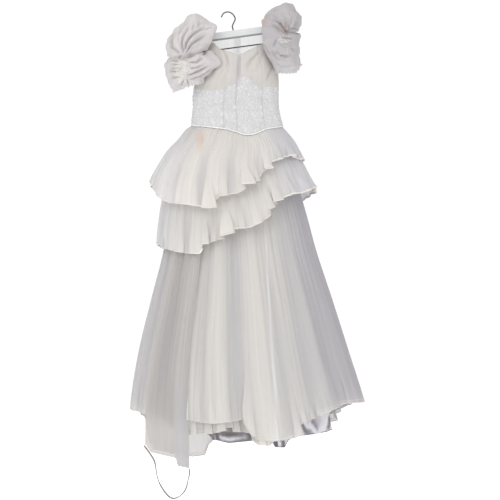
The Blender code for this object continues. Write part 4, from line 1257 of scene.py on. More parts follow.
def dress_shoulders():
    """The narrow pieces that lie over the bar."""
    for name, start, end in (("shoulder_right", 140.0, 164.0), ("shoulder_left", 17.0, 41.0)):
        half_bar = BAR_DEPTH / 2
        side = half_bar + 2.0
        lanes = []
        for index in range(9):
            forward = start + (end - start) * index / 8
            front_foot = body_point(forward, neck(forward))
            back_foot = body_point(360.0 - forward, neck(360.0 - forward))
            across = (front_foot.x + back_foot.x) / 2
            top = bar_top(across) + 1.3
            low = top - BAR_HEIGHT + 8.0
            route = (
                front_foot,
                Vector((across, -side - 1.0, max(low, front_foot.z + 9.0))),
                Vector((across, -side, top - 3.5)),
                Vector((across, -half_bar + 1.0, top)),
                Vector((across, half_bar - 1.0, top)),
                Vector((across, side, top - 3.5)),
                Vector((across, side + 1.0, max(low, back_foot.z + 9.0))),
                back_foot,
            )
            lanes.append(evenly(route, 33, 0.4 * math.sin(index * 2.3)))
        grid = [[lane[row] for lane in lanes] for row in range(33)]
        made = cloth("cloth_" + name, grid, FINISHES["back_yoke"], False, [name])
        declare(made)


def evenly(route, count, wave=0.0):
    """A given number of points at even steps along straight runs."""
    lengths = [0.0]
    for a, b in zip(route, route[1:]):
        lengths.append(lengths[-1] + (b - a).length)
    points = []
    run = 0
    for index in range(count):
        wanted = lengths[-1] * index / (count - 1)
        while run < len(route) - 2 and lengths[run + 1] < wanted:
            run += 1
        share = (wanted - lengths[run]) / (lengths[run + 1] - lengths[run])
        point = route[run].lerp(route[run + 1], share)
        points.append(point + Vector((wave * math.sin(index), 0.0, 0.0)))
    return points


# Sleeves

# Creases of each puff, run out from its gather. Columns: half width, rise (a trough is negative), route across and up
PUFF_CREASES = {
    "sleeve_right_upper": (
        (6, -9, (-159, -145), (-168, -113), (-164, -95), (-146, -60), (-137, -45)),
        (5, -8, (-154, -139), (-148, -113), (-137, -95), (-118, -76), (-89, -60), (-68, -52)),
        (6, -6, (-146, -143), (-133, -121), (-109, -102), (-81, -86), (-61, -76)),
        (5, -6, (-166, -158), (-185, -169), (-205, -167), (-212, -161)),
        (8, -6, (-177, -148), (-205, -126), (-207, -104), (-194, -78), (-177, -60)),
        (7, -5, (-168, -134), (-181, -95), (-170, -67), (-150, -43)),
        (4, -4, (-111, -65), (-105, -45), (-96, -30)),
        (4, -4, (-81, -65), (-63, -58), (-48, -54)),
        (4, -4, (-128, -80), (-124, -52), (-118, -32)),
    ),
    "sleeve_right_lower": (
        (5, -9, (-153, -165), (-133, -161), (-109, -150), (-92, -143), (-65, -130)),
        (9, -11, (-104, -152), (-89, -149), (-70, -145)),
        (4, -6, (-168, -176), (-185, -177), (-203, -176), (-214, -169)),
        (4, -5, (-170, -189), (-194, -191), (-220, -187)),
        (4, -5, (-172, -204), (-194, -204), (-212, -204)),
        (4, -5, (-172, -215), (-201, -215), (-222, -217)),
        (4, -5, (-170, -235), (-196, -237), (-216, -241)),
        (6, -7, (-137, -182), (-113, -182), (-96, -169), (-74, -165)),
        (4, -5, (-133, -204), (-107, -202), (-89, -193), (-68, -182)),
        (5, -7, (-140, -229), (-113, -220), (-83, -204), (-54, -191)),
        (4, -6, (-133, -244), (-98, -233), (-70, -215), (-41, -204)),
        (4, -5, (-159, -248), (-168, -261), (-177, -272)),
        (4, -5, (-146, -248), (-142, -261), (-137, -268)),
    ),
    "sleeve_left_upper": (
        (5, -10, (212, -74), (199, -58), (183, -39), (153, -25), (135, -19)),
        (5, -8, (175, -100), (164, -80), (146, -62), (133, -41)),
        (4, -7, (183, -85), (194, -73), (199, -65)),
        (4, -7, (220, -65), (218, -51), (214, -32)),
        (4, -6, (223, -65), (229, -58), (242, -58), (254, -63)),
        (8, -5, (209, -58), (209, -28), (201, -3), (186, 12)),
        (7, -5, (220, -51), (234, -21), (238, 5)),
        (6, -5, (234, -54), (249, -36), (260, -25)),
        (6, -5, (190, -47), (172, -16), (161, -3)),
    ),
    "sleeve_left_lower": (
        (4, -7, (197, -95), (205, -96), (223, -101), (238, -95)),
        (4, -6, (170, -147), (179, -149), (188, -148)),
        (5, -9, (188, -159), (209, -163), (242, -158)),
        (4, -6, (227, -132), (236, -139), (245, -145)),
        (5, -6, (172, -102), (168, -120), (161, -135)),
        (5, -5, (157, -139), (172, -168), (190, -183)),
        (4, -4, (175, -188), (194, -201), (218, -201), (256, -185)),
        (6, -4, (190, -120), (209, -131), (227, -120)),
        (5, -5, (130, -120), (142, -150), (161, -163)),
    ),
}
# Where each puff is gathered. Columns: across, height, seed
GATHERS = {
    "sleeve_right_upper": (-158, -150, 21),
    "sleeve_right_lower": (-158, -176, 22),
    "sleeve_left_upper": (214, -78, 23),
    "sleeve_left_lower": (205, -90, 24),
}
# The seam between the puffs, and the hem, drawn across the sleeve. Columns: across, moved up
SEAM_RIGHT = ((-225, -22), (-185, -33), (-153, -30), (-110, -15), (-80, -2), (-60, 5))
SEAM_LEFT_UPPER = ((130, 0), (158, 12), (187, 20), (212, 6), (234, 12), (256, 15))
SEAM_LEFT_LOWER = ((130, 56), (158, 44), (187, 26), (212, 6), (234, 12), (256, 15))
# The seam of each puff, and how far from it the puff is moved
SEAMS = {
    "sleeve_right_upper": (SEAM_RIGHT, 60.0),
    "sleeve_right_lower": (SEAM_RIGHT, 60.0),
    "sleeve_left_upper": (SEAM_LEFT_UPPER, 60.0),
    "sleeve_left_lower": (SEAM_LEFT_LOWER, 92.0),
}
HEM_RIGHT = ((-200, 0), (-140, -6), (-100, -12), (-60, -8), (-40, 0))
HEM_FROM = -180.0  # height below which the right sleeve's front follows its hem
# Rings that close the top of an upper puff, as shares of its first ring
CAP_RINGS = (0.004, 0.35, 0.7)
CAP_RISE = 2.0
TURN_DEPTH = 18.0  # depth at which the front of a puff goes over into its back
LUMPS = 6.0  # height of the uneven swellings of the cloth
TIGHT_SHARE = 0.08  # share of a puff's length that is drawn in at the seam
TIGHT_DEPTH = 7.0
TIGHT_LIFT = 5.0
OVERLAP = 7.0  # how far the left lower puff lies out over the upper one
RUFFLE = 2.4  # height of the waves at a lower puff's hem, across the cloth
RUFFLE_UP = 2.2  # and along it
# Lace patches. Columns: name, finish, centre across and up, half size
PATCHES = {
    "sleeve_right_lower": ("sleeve_right_applique", "applique", (-166, -212), (25, 48)),
    "sleeve_left_lower": ("sleeve_left_applique", "folded_lace", (200, -106), (26, 13)),
}
PATCH_LIFT = 3.0


def refine(grid, times):
    """Rows added between rows, on a curve through them."""
    fine = []
    for index in range(len(grid) - 1):
        lines = (grid[max(index - 1, 0)], grid[index], grid[index + 1], grid[min(index + 2, len(grid) - 1)])
        for part in range(times):
            fine.append([between(*points, part / times) for points in zip(*lines)])
    fine.append(grid[-1])
    return fine


def normals_of(grid):
    normals = np.cross(np.gradient(grid, axis=1), np.gradient(grid, axis=0))
    return normals / np.maximum(np.linalg.norm(normals, axis=2, keepdims=True), 1e-6)


def radiating(x, z, gather_x, gather_z, seed, front):
    """Small ripples that run out from a gather, finer near it."""
    away = np.hypot(x - gather_x, z - gather_z)
    spin = np.arctan2(z - gather_z, x - gather_x) + 0.10 * np.sin(away * 0.05 + seed) + 0.002 * away
    rise = np.zeros(x.shape)
    for count, phase, drift, height in ripples(seed, 5, 15, 8) + ripples(seed + 50, 16, 34, 9):
        rise += height * np.sin(count * spin + phase + drift * away * 0.03 + front) * (1.9 if count < 16 else 0.9)
    return rise * soft(away / 30.0)


def puff(name, table, side, columns):
    """Places on one gathered puff, and a tone for painted shade on it, from 0 in its creases to 1 on its ridges."""
    grid = np.array([[tuple(point) for point in line] for line in refine(puff_grid(table, side, columns), 10)])
    gather_x, gather_z, seed = GATHERS[name]
    seam, reach = SEAMS[name]
    near_seam = soft(1 - np.abs(grid[..., 2] - PUFF_SEAM[side]) / reach)
    grid[..., 2] += np.interp(grid[..., 0], *np.array(seam, float).T) * near_seam
    if name == "sleeve_right_lower":
        low = soft((HEM_FROM - grid[..., 2]) / 50.0) * (grid[..., 1] < 0)
        grid[..., 2] += np.interp(grid[..., 0], *np.array(HEM_RIGHT, float).T) * low
    x, y, z = np.moveaxis(grid, -1, 0)
    normal = normals_of(grid)
    share = np.linspace(0, 1, columns)[None, :]
    row = np.linspace(0, 1, len(grid))[:, None]
    facing = soft((TURN_DEPTH - y) / 30.0)
    behind = soft((TURN_DEPTH + y) / 30.0)
    creases = crease_rise(x, z, PUFF_CREASES[name])
    rise = creases * np.maximum(facing, 0.85 * behind)
    rise += radiating(x, z, gather_x, gather_z, seed, 0.0) * facing
    rise += radiating(x, z, gather_x, gather_z, seed + 7, 1.0) * behind * (1 - facing)
    lumps = np.array([[noise.noise(Vector(place) * 0.03 + Vector((seed, 0, 0))) for place in line]
                      for line in grid.tolist()])
    rise += LUMPS * lumps
    lower = name.endswith("lower")
    frill = soft((row - 0.84) / 0.16) * lower
    ruffled = wave_sum(ripples(seed + 9, 9, 26, 8), share * 2 * math.pi, 0.0)
    rise += frill * RUFFLE * ruffled
    tight = soft((TIGHT_SHARE - row) / TIGHT_SHARE) if lower else soft((row - (1 - TIGHT_SHARE)) / TIGHT_SHARE)
    tight = tight * soft((np.abs(y) - 6.0) / 22.0)
    if name == "sleeve_left_lower":
        over = soft((0.35 - row) / 0.3) * soft((205.0 - x) / 30.0)
        tight = tight * (1 - over)
        rise += OVERLAP * over
    rise -= TIGHT_DEPTH * tight
    edge = soft(np.minimum(share, 1 - share) * 9.0)
    places = grid + normal * (rise * edge)[..., None]
    places[..., 2] += tight**3 * (TIGHT_LIFT if lower else -TIGHT_LIFT) * edge
    places[..., 2] += frill * edge * RUFFLE_UP * wave_sum(ripples(seed + 11, 20, 44, 8), share * 2 * math.pi, 0.0)
    # Tone for painted shade on the organza: darker in the creases, paler on the ridges.
    crest = np.clip(0.55 + (creases * 0.07 + rise * 0.02) * edge, 0, 1)
    if lower:
        return places, crest
    top = places[0].mean(axis=0) + (0.0, 0.0, CAP_RISE)
    places = np.concatenate([top + (places[:1] - top) * part for part in CAP_RINGS] + [places])
    crest = np.concatenate([crest[:1]] * len(CAP_RINGS) + [crest])
    beside_slot = np.maximum(1 - np.minimum(share, 1 - share) * 60, 0)
    closed = soft((places[..., 2] - SLOT_TOP[side]) / 10.0) * beside_slot
    middle = (places[:, :1] + places[:, -1:]) / 2
    return places + (middle - places) * closed[..., None], crest


def lifted(name, grid, centre, half, lift):
    """A gathered lace patch: the front of a puff inside an oval, moved out, with a ruffled rim."""
    normal = normals_of(grid)
    points = []
    index = {}
    rows, columns = grid.shape[:2]
    for row in range(rows):
        for column in range(columns):
            place = grid[row, column]
            aside = (place[0] - centre[0]) / half[0]
            below = (place[2] - centre[1]) / half[1]
            spin = math.atan2(below, aside)
            away = math.hypot(aside, below) / (1 + 0.10 * math.sin(7 * spin + 1.0) + 0.06 * math.sin(13 * spin))
            if away > 1.0 or place[1] > 0:
                continue
            ruffle = 0.8 * math.sin(spin * 17 + away * 4) * away + 0.9 * math.sin(place[2] * 0.9) * (1 - away)
            index[row, column] = len(points)
            points.append((place + normal[row, column] * (lift * (1 - away * away * 0.7) + ruffle)) * MM)
    faces = []
    places = []
    for row, column in index:
        corners = ((row, column), (row + 1, column), (row + 1, column + 1), (row, column + 1))
        if all(corner in index for corner in corners):
            faces.append([index[corner] for corner in corners])
            for corner in corners:
                place = points[index[corner]]
                places.extend((place[0], place[2]))
    mesh = bpy.data.meshes.new(name)
    mesh.from_pydata([tuple(point) for point in points], [], faces)
    mesh.uv_layers.new(name="UVMap").data.foreach_set("uv", places)
    mesh.shade_smooth()
    SPREAD["cloth_" + name] = (2 * half[0] * MM, 2 * half[1] * MM)
    return mesh


def dress_sleeves():
    """The four puffs, and the lace patches on the lower ones, which it returns."""
    puffs = (
        ("sleeve_right_upper", SLEEVE_RIGHT_UPPER, -1),
        ("sleeve_right_lower", SLEEVE_RIGHT_LOWER, -1),
        ("sleeve_left_upper", SLEEVE_LEFT_UPPER, 1),
        ("sleeve_left_lower", SLEEVE_LEFT_LOWER, 1),
    )
    patches = []
    for name, table, side in puffs:
        grid, crest = puff(name, table, side, 200)
        # The left (+X) sleeve gets painted shade all over; the other tone is painted shade in its creases.
        tones = {"crest": crest, "bare": np.full(crest.shape, float(side > 0))}
        made = cloth("cloth_" + name, grid, FINISHES["organza"], False, [name], tones)
        if name.endswith("lower"):
            hem = [Vector(place) for place in grid[-1].tolist()]
            rim(name + "_edge", hem, FINISHES["hem"], 0.7, 0.9, sides=6)
        declare(made, 1.3)
        if name in PATCHES:
            patch, finish, centre, half = PATCHES[name]
            patches.append((patch, finish, lifted(patch, grid, centre, half, PATCH_LIFT)))
    made = []
    for name, finish, mesh in patches:
        made.append(piece("cloth_" + name, mesh, FINISHES[finish], [name]))
        area = sum(face.area for face in mesh.polygons)
        wide, long = SPREAD["cloth_" + name]
        round(wide * 1.25, 3)
        round(long * 1.25, 3)
        round(min(area * 1.05, wide * long * 1.5), 5)
    return made


# Flounces and skirts

# Folds that roll over at a front hem. Columns: across, half width in degrees, rise, overhang, lean in degrees, length
UPPER_ROLLS = (
    (-246, 7.0, 6, 0.10, 0.0, 120),
    (-176, 8.0, 5, 0.06, 0.0, 120),
    (-120, 6.0, 5, 0.10, 0.0, 110),
    (-72, 6.5, 19, 0.50, -1.6, 110),
    (-14, 6.0, 9, 0.26, 0.8, 90),
    (26, 4.0, 6, 0.20, -0.4, 80),
    (67, 6.4, 16, 0.50, -1.6, 90),
    (108, 3.6, 8, 0.26, 0.4, 70),
    (142, 5.0, 14, 0.48, -1.2, 80),
    (184, 4.6, 12, 0.42, -0.8, 70),
    (224, 6.5, 15, 0.48, -1.0, 60),
    (258, 4.0, 8, 0.20, 0.4, 50),
)
LOWER_ROLLS = (
    (-232, 7.0, 10, 0.36, 0.8, 120),
    (-172, 7.0, 7, 0.16, -0.5, 120),
    (-128, 5.0, 6, 0.14, 0.4, 120),
    (-84, 4.2, 12, 0.34, -1.4, 120),
    (-48, 3.6, 8, 0.30, 0.6, 100),
    (-8, 6.2, 18, 0.50, -1.6, 120),
    (50, 5.4, 11, 0.36, 0.8, 110),
    (108, 7.0, 9, 0.08, 0.0, 120),
    (152, 4.0, 12, 0.36, -1.4, 110),
    (182, 5.6, 15, 0.46, 1.0, 90),
    (236, 5.2, 10, 0.28, -0.8, 80),
    (288, 6.0, 8, 0.16, 0.4, 70),
)
OUTER_ROLLS = (
    (-330, 5.0, 8, 0.16, 0.5, 220),
    (-150, 3.4, 5, 0.20, -0.4, 200),
    (-104, 3.6, 5, 0.16, 0.6, 260),
    (-56, 3.8, 6, 0.24, -0.6, 90),
    (2, 3.6, 5, 0.16, 0.6, 280),
    (54, 4.2, 7, 0.30, -0.6, 160),
    (90, 3.4, 11, 0.40, 1.2, 220),
    (166, 5.0, 5, 0.12, 0.2, 300),
    (246, 3.4, 9, 0.34, -1.0, 220),
    (276, 2.6, 6, 0.36, 0.4, 60),
    (302, 2.6, 6, 0.36, -0.4, 60),
    (330, 2.6, 6, 0.36, 0.4, 70),
    (356, 3.0, 6, 0.34, -0.4, 90),
    (388, 3.6, 8, 0.30, 0.5, 200),
    (440, 5.0, 8, 0.18, 0.4, 260),
)
UNDER_ROLLS = (
    (-120, 3.2, 6, 0.38, 0.5, 90),
    (-70, 3.6, 7, 0.42, -0.5, 90),
    (-20, 3.6, 7, 0.42, 0.6, 90),
    (30, 3.2, 6, 0.40, -0.6, 90),
    (74, 3.0, 6, 0.34, -0.5, 90),
    (126, 3.6, 7, 0.30, 0.5, 90),
    (300, 3.4, 6, 0.38, -0.5, 90),
    (352, 3.4, 6, 0.38, 0.5, 90),
)


def back_rolls(count, rise, overhang, length, seed):
    """Like the rolls of the front, spread unevenly over the back. The first column is an angle."""
    rows = []
    for index in range(count):
        uneven = math.sin(index * 2.4 + seed)
        rows.append((188 + 164 * (index + 0.5) / count + 4.0 * uneven,
                     70.0 / count * (1 + 0.35 * math.sin(index * 1.7 + seed)), rise * (0.7 + 0.5 * abs(uneven)),
                     overhang * (0.4 + 0.6 * abs(math.sin(index * 3.1 + seed))), 0.8 * uneven, length))
    return rows


# A painted highlight: the gleam of satin pressed against the chiffon along the top of one fold of the skirt, which
# shows through it.
# Columns: drop, angle, half width in degrees, strength
GLEAM = ((300, 67.0, 0.6, 0.3), (407, 68.9, 0.7, 0.8), (620, 72.6, 0.8, 0.9), (889, 75.2, 1.0, 1.0),
         (1037, 77.1, 1.4, 1.0), (1100, 77.3, 1.6, 1.0))


def gleam(degrees, drop):
    centre, half_width, strength = np.moveaxis(smooth_columns(GLEAM, drop), -1, 0)
    return strength * np.exp(-((degrees - centre) / half_width) ** 2)


# Folds of the lining above its front hem: half width, brightness (a dark trough is negative), route across and up
LINING_CREASES = (
    (9, 5, (290, -1470), (306, -1494), (322, -1518), (338, -1494), (352, -1466)),
    (10, -9, (262, -1470), (276, -1500), (300, -1524)),
    (9, -8, (366, -1450), (362, -1486), (352, -1512)),
    (8, -10, (-60, -1500), (0, -1512), (60, -1516)),
    (6, 8, (-40, -1526), (20, -1536), (90, -1530)),
    (7, -10, (-30, -1534), (30, -1546), (90, -1542)),
    (6, 7, (-48, -1512), (-44, -1536), (-40, -1550)),
    (6, 9, (180, -1520), (184, -1545), (188, -1562)),
    (6, -8, (170, -1520), (171, -1545), (173, -1562)),
    (5, -6, (198, -1520), (199, -1545), (200, -1560)),
)
LINING_DIM = -1380.0  # height below which the lining's front is in shade
LINING_LIT = 240.0  # place across beyond which it is in the light


def hang_cloth(layer, name, degrees, rows, finish, closed=True, out=0.0, nodes=True, depth=11.0):
    """A layer's cloth, with the rise of its folds kept as a tone for painted shade, from 0 in a trough to 1 on the
    top of a fold.
    """
    places, rise = layer.grid(degrees, rows, out)
    tones = {"crest": np.clip(0.5 + rise / depth / 2, 0, 1)}
    x, y, z = np.moveaxis(places, -1, 0)
    # Painted light and shade on the lining: lit beyond LINING_LIT, in shade low on its front, with painted highlights
    # and dark troughs along its creases.
    if name == "skirt_lining":
        folds = crease_rise(x, z, LINING_CREASES) * (y < 0)
        dim = soft((LINING_DIM - z) / 90.0) * soft((LINING_LIT - x) / 60.0) * (y < 0)
        light = 0.62 + 0.2 * soft((x - LINING_LIT) / 50.0) + rise / depth / 3 + folds * 0.09 - 0.45 * dim
        tones["crest"] = np.clip(light, 0, 1)
        places[..., 1] -= folds * 0.6
    middle = (x.min(axis=1, keepdims=True) + x.max(axis=1, keepdims=True)) / 2
    half = (x.max(axis=1, keepdims=True) - x.min(axis=1, keepdims=True)) / 2
    # Painted shade towards each side of a layer, most on the +X side.
    aside = (x - middle) / half
    tones["bare"] = soft((aside - 0.35) / 0.6) * 0.95 + soft((-aside - 0.55) / 0.5) * 0.7
    if name == "skirt_outer":
        angles = np.asarray(degrees)[None, :]
        share = row_shares(rows)
        tones["gleam"] = gleam(angles + 0 * share[:, None], layer.hem(angles) * share[:, None])
    title, replaced = ("cloth_" + name, [name]) if nodes else (name, ())
    return cloth(title, places, FINISHES[finish], closed, replaced, tones)


NARROW_FROM = -90.0  # place across beyond which the front bindings of the flounces are narrower


def dress_skirts():
    layers = {
        "upper": Layer(UPPER_FLOUNCE, UPPER_FOLDS, UPPER_HEM_FRONT, UPPER_HEM_BACK, (UNDER_FACE, UNDER_FACE),
                       (2.6, 1.5, 0.5, 0.8), 11, UPPER_ROLLS, back_rolls(10, 15, 0.44, 100, 0.0)),
        "lower": Layer(LOWER_FLOUNCE, LOWER_FOLDS, LOWER_HEM_FRONT, LOWER_HEM_BACK, (LAYER + UNDER_FACE, UNDER_FACE),
                       (2.6, 1.5, 0.5, 0.6), 31, LOWER_ROLLS, back_rolls(10, 15, 0.44, 110, 1.0)),
        "train": Layer(SKIRT, SKIRT_FOLDS + STRIP_FOLD, TRAIN_HEM, TRAIN_HEM, (2 * LAYER + UNDER_FACE, TRAIN_INSET),
                       (0.0, 1.4, 0.6, 0.4), 41),
        "outer": Layer(SKIRT, SKIRT_FOLDS, OUTER_HEM_FRONT, OUTER_HEM_BACK, (3 * LAYER + UNDER_FACE, UNDER_FACE),
                       (3.4, 1.8, 0.7, 0.4), 51, OUTER_ROLLS, back_rolls(15, 9, 0.4, 120, 2.0)),
        "under": Layer(SKIRT, SKIRT_FOLDS, UNDER_HEM_FRONT, UNDER_HEM_BACK, (4 * LAYER + UNDER_FACE, UNDER_INSET),
                       (3.4, 1.8, 0.7, 0.4), 51, UNDER_ROLLS, back_rolls(12, 5, 0.36, 90, 3.0)),
        "lining": Layer(LINING, LINING_FOLDS, LINING_HEM_FRONT, LINING_HEM_BACK, (5 * LAYER + UNDER_FACE, UNDER_FACE),
                        (3.0, 1.6, 0.0, 0.3), 61),
    }
    fine = 1
    around = columns_around(900 // fine)
    panel = columns_around(130, TRAIN_FROM + 0.2, TRAIN_TO - 0.2, False)
    lining_around = columns_around(600 // fine)
    made = {
        "upper": hang_cloth(layers["upper"], "flounce_upper", around, 52, "flounce"),
        "lower": hang_cloth(layers["lower"], "flounce_lower", around, 60, "flounce"),
        "outer": hang_cloth(layers["outer"], "skirt_outer", around, 80, "skirt", depth=18.0),
        "under": hang_cloth(layers["under"], "skirt_under", around, 50, "under", depth=18.0),
        "lining": hang_cloth(layers["lining"], "skirt_lining", lining_around, 54, "lining", depth=14.0),
        "train": hang_cloth(layers["train"], "train_panel", panel, 100, "train", closed=False, depth=18.0),
    }
    strip = columns_around(24, TRAIN_FROM + 0.3, 127.6, False)
    facing = hang_cloth(layers["train"], "train_facing", strip, 100, "facing", closed=False, out=1.6, nodes=False,
                        depth=18.0)
    # Columns: layer, name, above the hem, half thickness, half height, finish, replaced node
    hems = (
        ("upper", "cloth_flounce_upper_binding", 3.2, 1.4, 3.6, "edge", ["flounce_upper_binding"]),
        ("lower", "cloth_flounce_lower_binding", 3.2, 1.4, 3.6, "edge", ["flounce_lower_binding"]),
        ("outer", "cloth_skirt_outer_binding", 1.2, 0.8, 1.7, "hem", ["skirt_outer_binding"]),
        ("outer", "skirt_outer_hem_line", 10.5, 0.6, 1.0, "hem", ()),
        ("under", "skirt_under_hem_edge", 1.2, 0.8, 1.6, "hem", ()),
        ("under", "skirt_under_hem_line", 10.5, 0.6, 1.0, "hem", ()),
        ("lining", "lining_hem_edge", 1.0, 0.8, 1.4, "lining", ()),
        ("train", "cloth_train_panel_binding", 1.2, 0.8, 1.7, "hem", ["train_panel_binding"]),
        ("train", "train_hem_line", 10.5, 0.6, 1.0, "hem", ()),
    )
    trims = {key: [] for key in layers}
    for key, name, above, wide, high, finish, nodes in hems:
        columns = {"train": panel, "lining": lining_around}.get(key, around)
        line = layers[key].line(columns, above, 0.3)
        sizes = None
        if finish == "edge":
            narrow = [0.45 * ease((NARROW_FROM - point.x) / 40.0) * (point.y < 0) for point in line]
            sizes = [1.0 + 0.25 * math.sin(index * 0.11) - less for index, less in enumerate(narrow)]
        trims[key].append(rim(name, line, FINISHES[finish], wide, high, key != "train", nodes, sides=6, sizes=sizes))
    trims["train"].append(facing)
    fullness = {"upper": 1.25, "lower": 1.25, "outer": 1.2, "under": 1.2, "lining": 1.0, "train": 1.1}
    for key, obj in made.items():
        declare(obj, fullness[key])


def dress_loop():
    """The wrist loop: a flat ribbon along the same route as its solid."""
    curve = bpy.data.curves.new("ribbon_loop", "CURVE")
    curve.dimensions = "3D"
    first, last = LOOP_ENDS
    route = [first]
    for across, height in RIBBON_ROUTE:
        share = (across - first.x) / (last.x - first.x)
        route.append(Vector((across, first.y + (last.y - first.y) * share, height)))
    route.append(last)
    points = curve_through(route, 8.0)
    section = bpy.data.curves.new("ribbon_section", "CURVE")
    section.dimensions = "2D"
    outline = section.splines.new("POLY")
    outline.points.add(7)
    for index, point in enumerate(outline.points):
        turn = 2 * math.pi * index / 8
        point.co = (RIBBON_HALF[0] * math.cos(turn), RIBBON_HALF[1] * math.sin(turn), 0.0, 1.0)
    outline.use_cyclic_u = True
    shape = bpy.data.objects.new("ribbon_section", section)
    curve.bevel_mode = "OBJECT"
    curve.bevel_object = shape
    curve.use_fill_caps = True
    spline = curve.splines.new("POLY")
    spline.points.add(len(points) - 1)
    for index, (point, place) in enumerate(zip(spline.points, points)):
        point.co = (*(place * MM), 1.0)
        point.tilt = 0.5 + 0.9 * math.sin(index * 0.33)
    ribbon = piece("ribbon_loop", curve, FINISHES["ribbon"], ["train_loop"])


# Repeated ornament

def finished(mesh, name):
    """An object with smooth shading from an edited mesh."""
    data = bpy.data.meshes.new(name)
    mesh.to_mesh(data)
    mesh.free()
    data.shade_smooth()
    return bpy.data.objects.new(name, data)


def flower_mesh(name, petals, inner, outer, thick):
    """A small raised flower with rounded petals and a bead at its centre."""
    mesh = bmesh.new()
    centre = mesh.verts.new((0.0, 0.0, thick))
    rings = []
    count = petals * 6
    for radius_share, height in ((0.45, 1.0), (0.8, 1.15), (1.0, 0.0)):
        ring = []
        for index in range(count):
            turn = 2 * math.pi * index / count
            petal = abs(math.sin(turn * petals / 2))
            radius = (inner + (outer - inner) * petal ** 0.6) * radius_share
            up = thick * height * (0.5 + 0.5 * petal)
            ring.append(mesh.verts.new((radius * math.cos(turn), radius * math.sin(turn), up)))
        rings.append(ring)
    for index in range(count):
        after = (index + 1) % count
        mesh.faces.new((centre, rings[0][index], rings[0][after]))
        for low, high in zip(rings, rings[1:]):
            mesh.faces.new((low[index], high[index], high[after], low[after]))
    return finished(mesh, name)


def scroll_mesh(name, length, width, thick):
    """A small raised curling leaf."""
    mesh = bmesh.new()
    rows = []
    for index in range(13):
        share = index / 12
        turn = share * 2.6
        x = length * (share - 0.5)
        y = length * 0.3 * math.sin(turn)
        half = width * math.sin(math.pi * (0.08 + 0.84 * share))
        rows.append([mesh.verts.new(place) for place in ((x, y - half, 0.0), (x, y, thick), (x, y + half, 0.0))])
    for low, high in zip(rows, rows[1:]):
        for side in (0, 1):
            mesh.faces.new((low[side], high[side], high[side + 1], low[side + 1]))
    return finished(mesh, name)


def pearl_mesh(name, radius):
    mesh = bmesh.new()
    bmesh.ops.create_icosphere(mesh, subdivisions=2, radius=radius)
    return finished(mesh, name)


def scatter_tree(name):
    """Nodes that set a motif on a surface, at random turns and sizes, with a least spacing."""
    tree = bpy.data.node_groups.new(name, "GeometryNodeTree")
    face = tree.interface
    face.new_socket("Surface", in_out="INPUT", socket_type="NodeSocketGeometry")
    names = (("Motif", "NodeSocketObject"), ("Spacing", "NodeSocketFloat"), ("Density", "NodeSocketFloat"),
             ("Least size", "NodeSocketFloat"), ("Largest size", "NodeSocketFloat"), ("Lift", "NodeSocketFloat"),
             ("Seed", "NodeSocketInt"), ("Finish", "NodeSocketMaterial"))
    for label, kind in names:
        face.new_socket(label, in_out="INPUT", socket_type=kind)
    face.new_socket("Ornament", in_out="OUTPUT", socket_type="NodeSocketGeometry")
    nodes = tree.nodes
    given = nodes.new("NodeGroupInput")
    made = nodes.new("NodeGroupOutput")
    points = nodes.new("GeometryNodeDistributePointsOnFaces")
    points.distribute_method = "POISSON"
    motif = nodes.new("GeometryNodeObjectInfo")
    motif.inputs["As Instance"].default_value = True
    size = nodes.new("FunctionNodeRandomValue")
    size.data_type = "FLOAT"
    place = nodes.new("GeometryNodeInstanceOnPoints")
    turn = nodes.new("FunctionNodeRandomValue")
    turn.data_type = "FLOAT"
    turn.inputs[3].default_value = 2 * math.pi
    spin = nodes.new("ShaderNodeCombineXYZ")
    rotate = nodes.new("GeometryNodeRotateInstances")
    rotate.inputs["Local Space"].default_value = True
    raise_up = nodes.new("GeometryNodeTranslateInstances")
    raise_up.inputs["Local Space"].default_value = True
    lift = nodes.new("ShaderNodeCombineXYZ")
    real = nodes.new("GeometryNodeRealizeInstances")
    paint = nodes.new("GeometryNodeSetMaterial")
    routes = (
        (given, "Surface", points, "Mesh"),
        (given, "Spacing", points, "Distance Min"),
        (given, "Density", points, "Density Max"),
        (given, "Seed", points, "Seed"),
        (given, "Motif", motif, "Object"),
        (given, "Least size", size, 2),
        (given, "Largest size", size, 3),
        (given, "Seed", size, "Seed"),
        (points, "Points", place, "Points"),
        (motif, "Geometry", place, "Instance"),
        (points, "Rotation", place, "Rotation"),
        (size, 1, place, "Scale"),
        (turn, 1, spin, 2),
        (place, 0, rotate, "Instances"),
        (spin, 0, rotate, "Rotation"),
        (given, "Lift", lift, 2),
        (rotate, 0, raise_up, "Instances"),
        (lift, 0, raise_up, "Translation"),
        (raise_up, 0, real, 0),
        (real, 0, paint, "Geometry"),
        (given, "Finish", paint, "Material"),
        (paint, 0, made, 0),
    )
    for source, output, target, entry in routes:
        tree.links.new(source.outputs[output], target.inputs[entry])
    return tree


def scatter(name, surface, tree, values, finish):
    """The ornament on one surface as a mesh of its own."""
    work = bpy.data.objects.new(name + "_work", surface.data)
    bpy.context.scene.collection.objects.link(work)
    modifier = work.modifiers.new("scatter", "NODES")
    modifier.node_group = tree
    values = {**values, "Finish": finish}
    for item in tree.interface.items_tree:
        if item.in_out == "INPUT" and item.name in values:
            modifier[item.identifier] = values[item.name]
    depsgraph = bpy.context.evaluated_depsgraph_get()
    mesh = bpy.data.meshes.new_from_object(work.evaluated_get(depsgraph))
    bpy.data.objects.remove(work)
    mesh.name = name
    return piece(name, mesh, None if mesh.materials else finish)


def joined_surface(name, objects):
    """One mesh from several pieces, for ornament that runs over them."""
    mesh = bmesh.new()
    for obj in objects:
        mesh.from_mesh(obj.data)
    data = bpy.data.meshes.new(name)
    mesh.to_mesh(data)
    mesh.free()
    return bpy.data.objects.new(name, data)


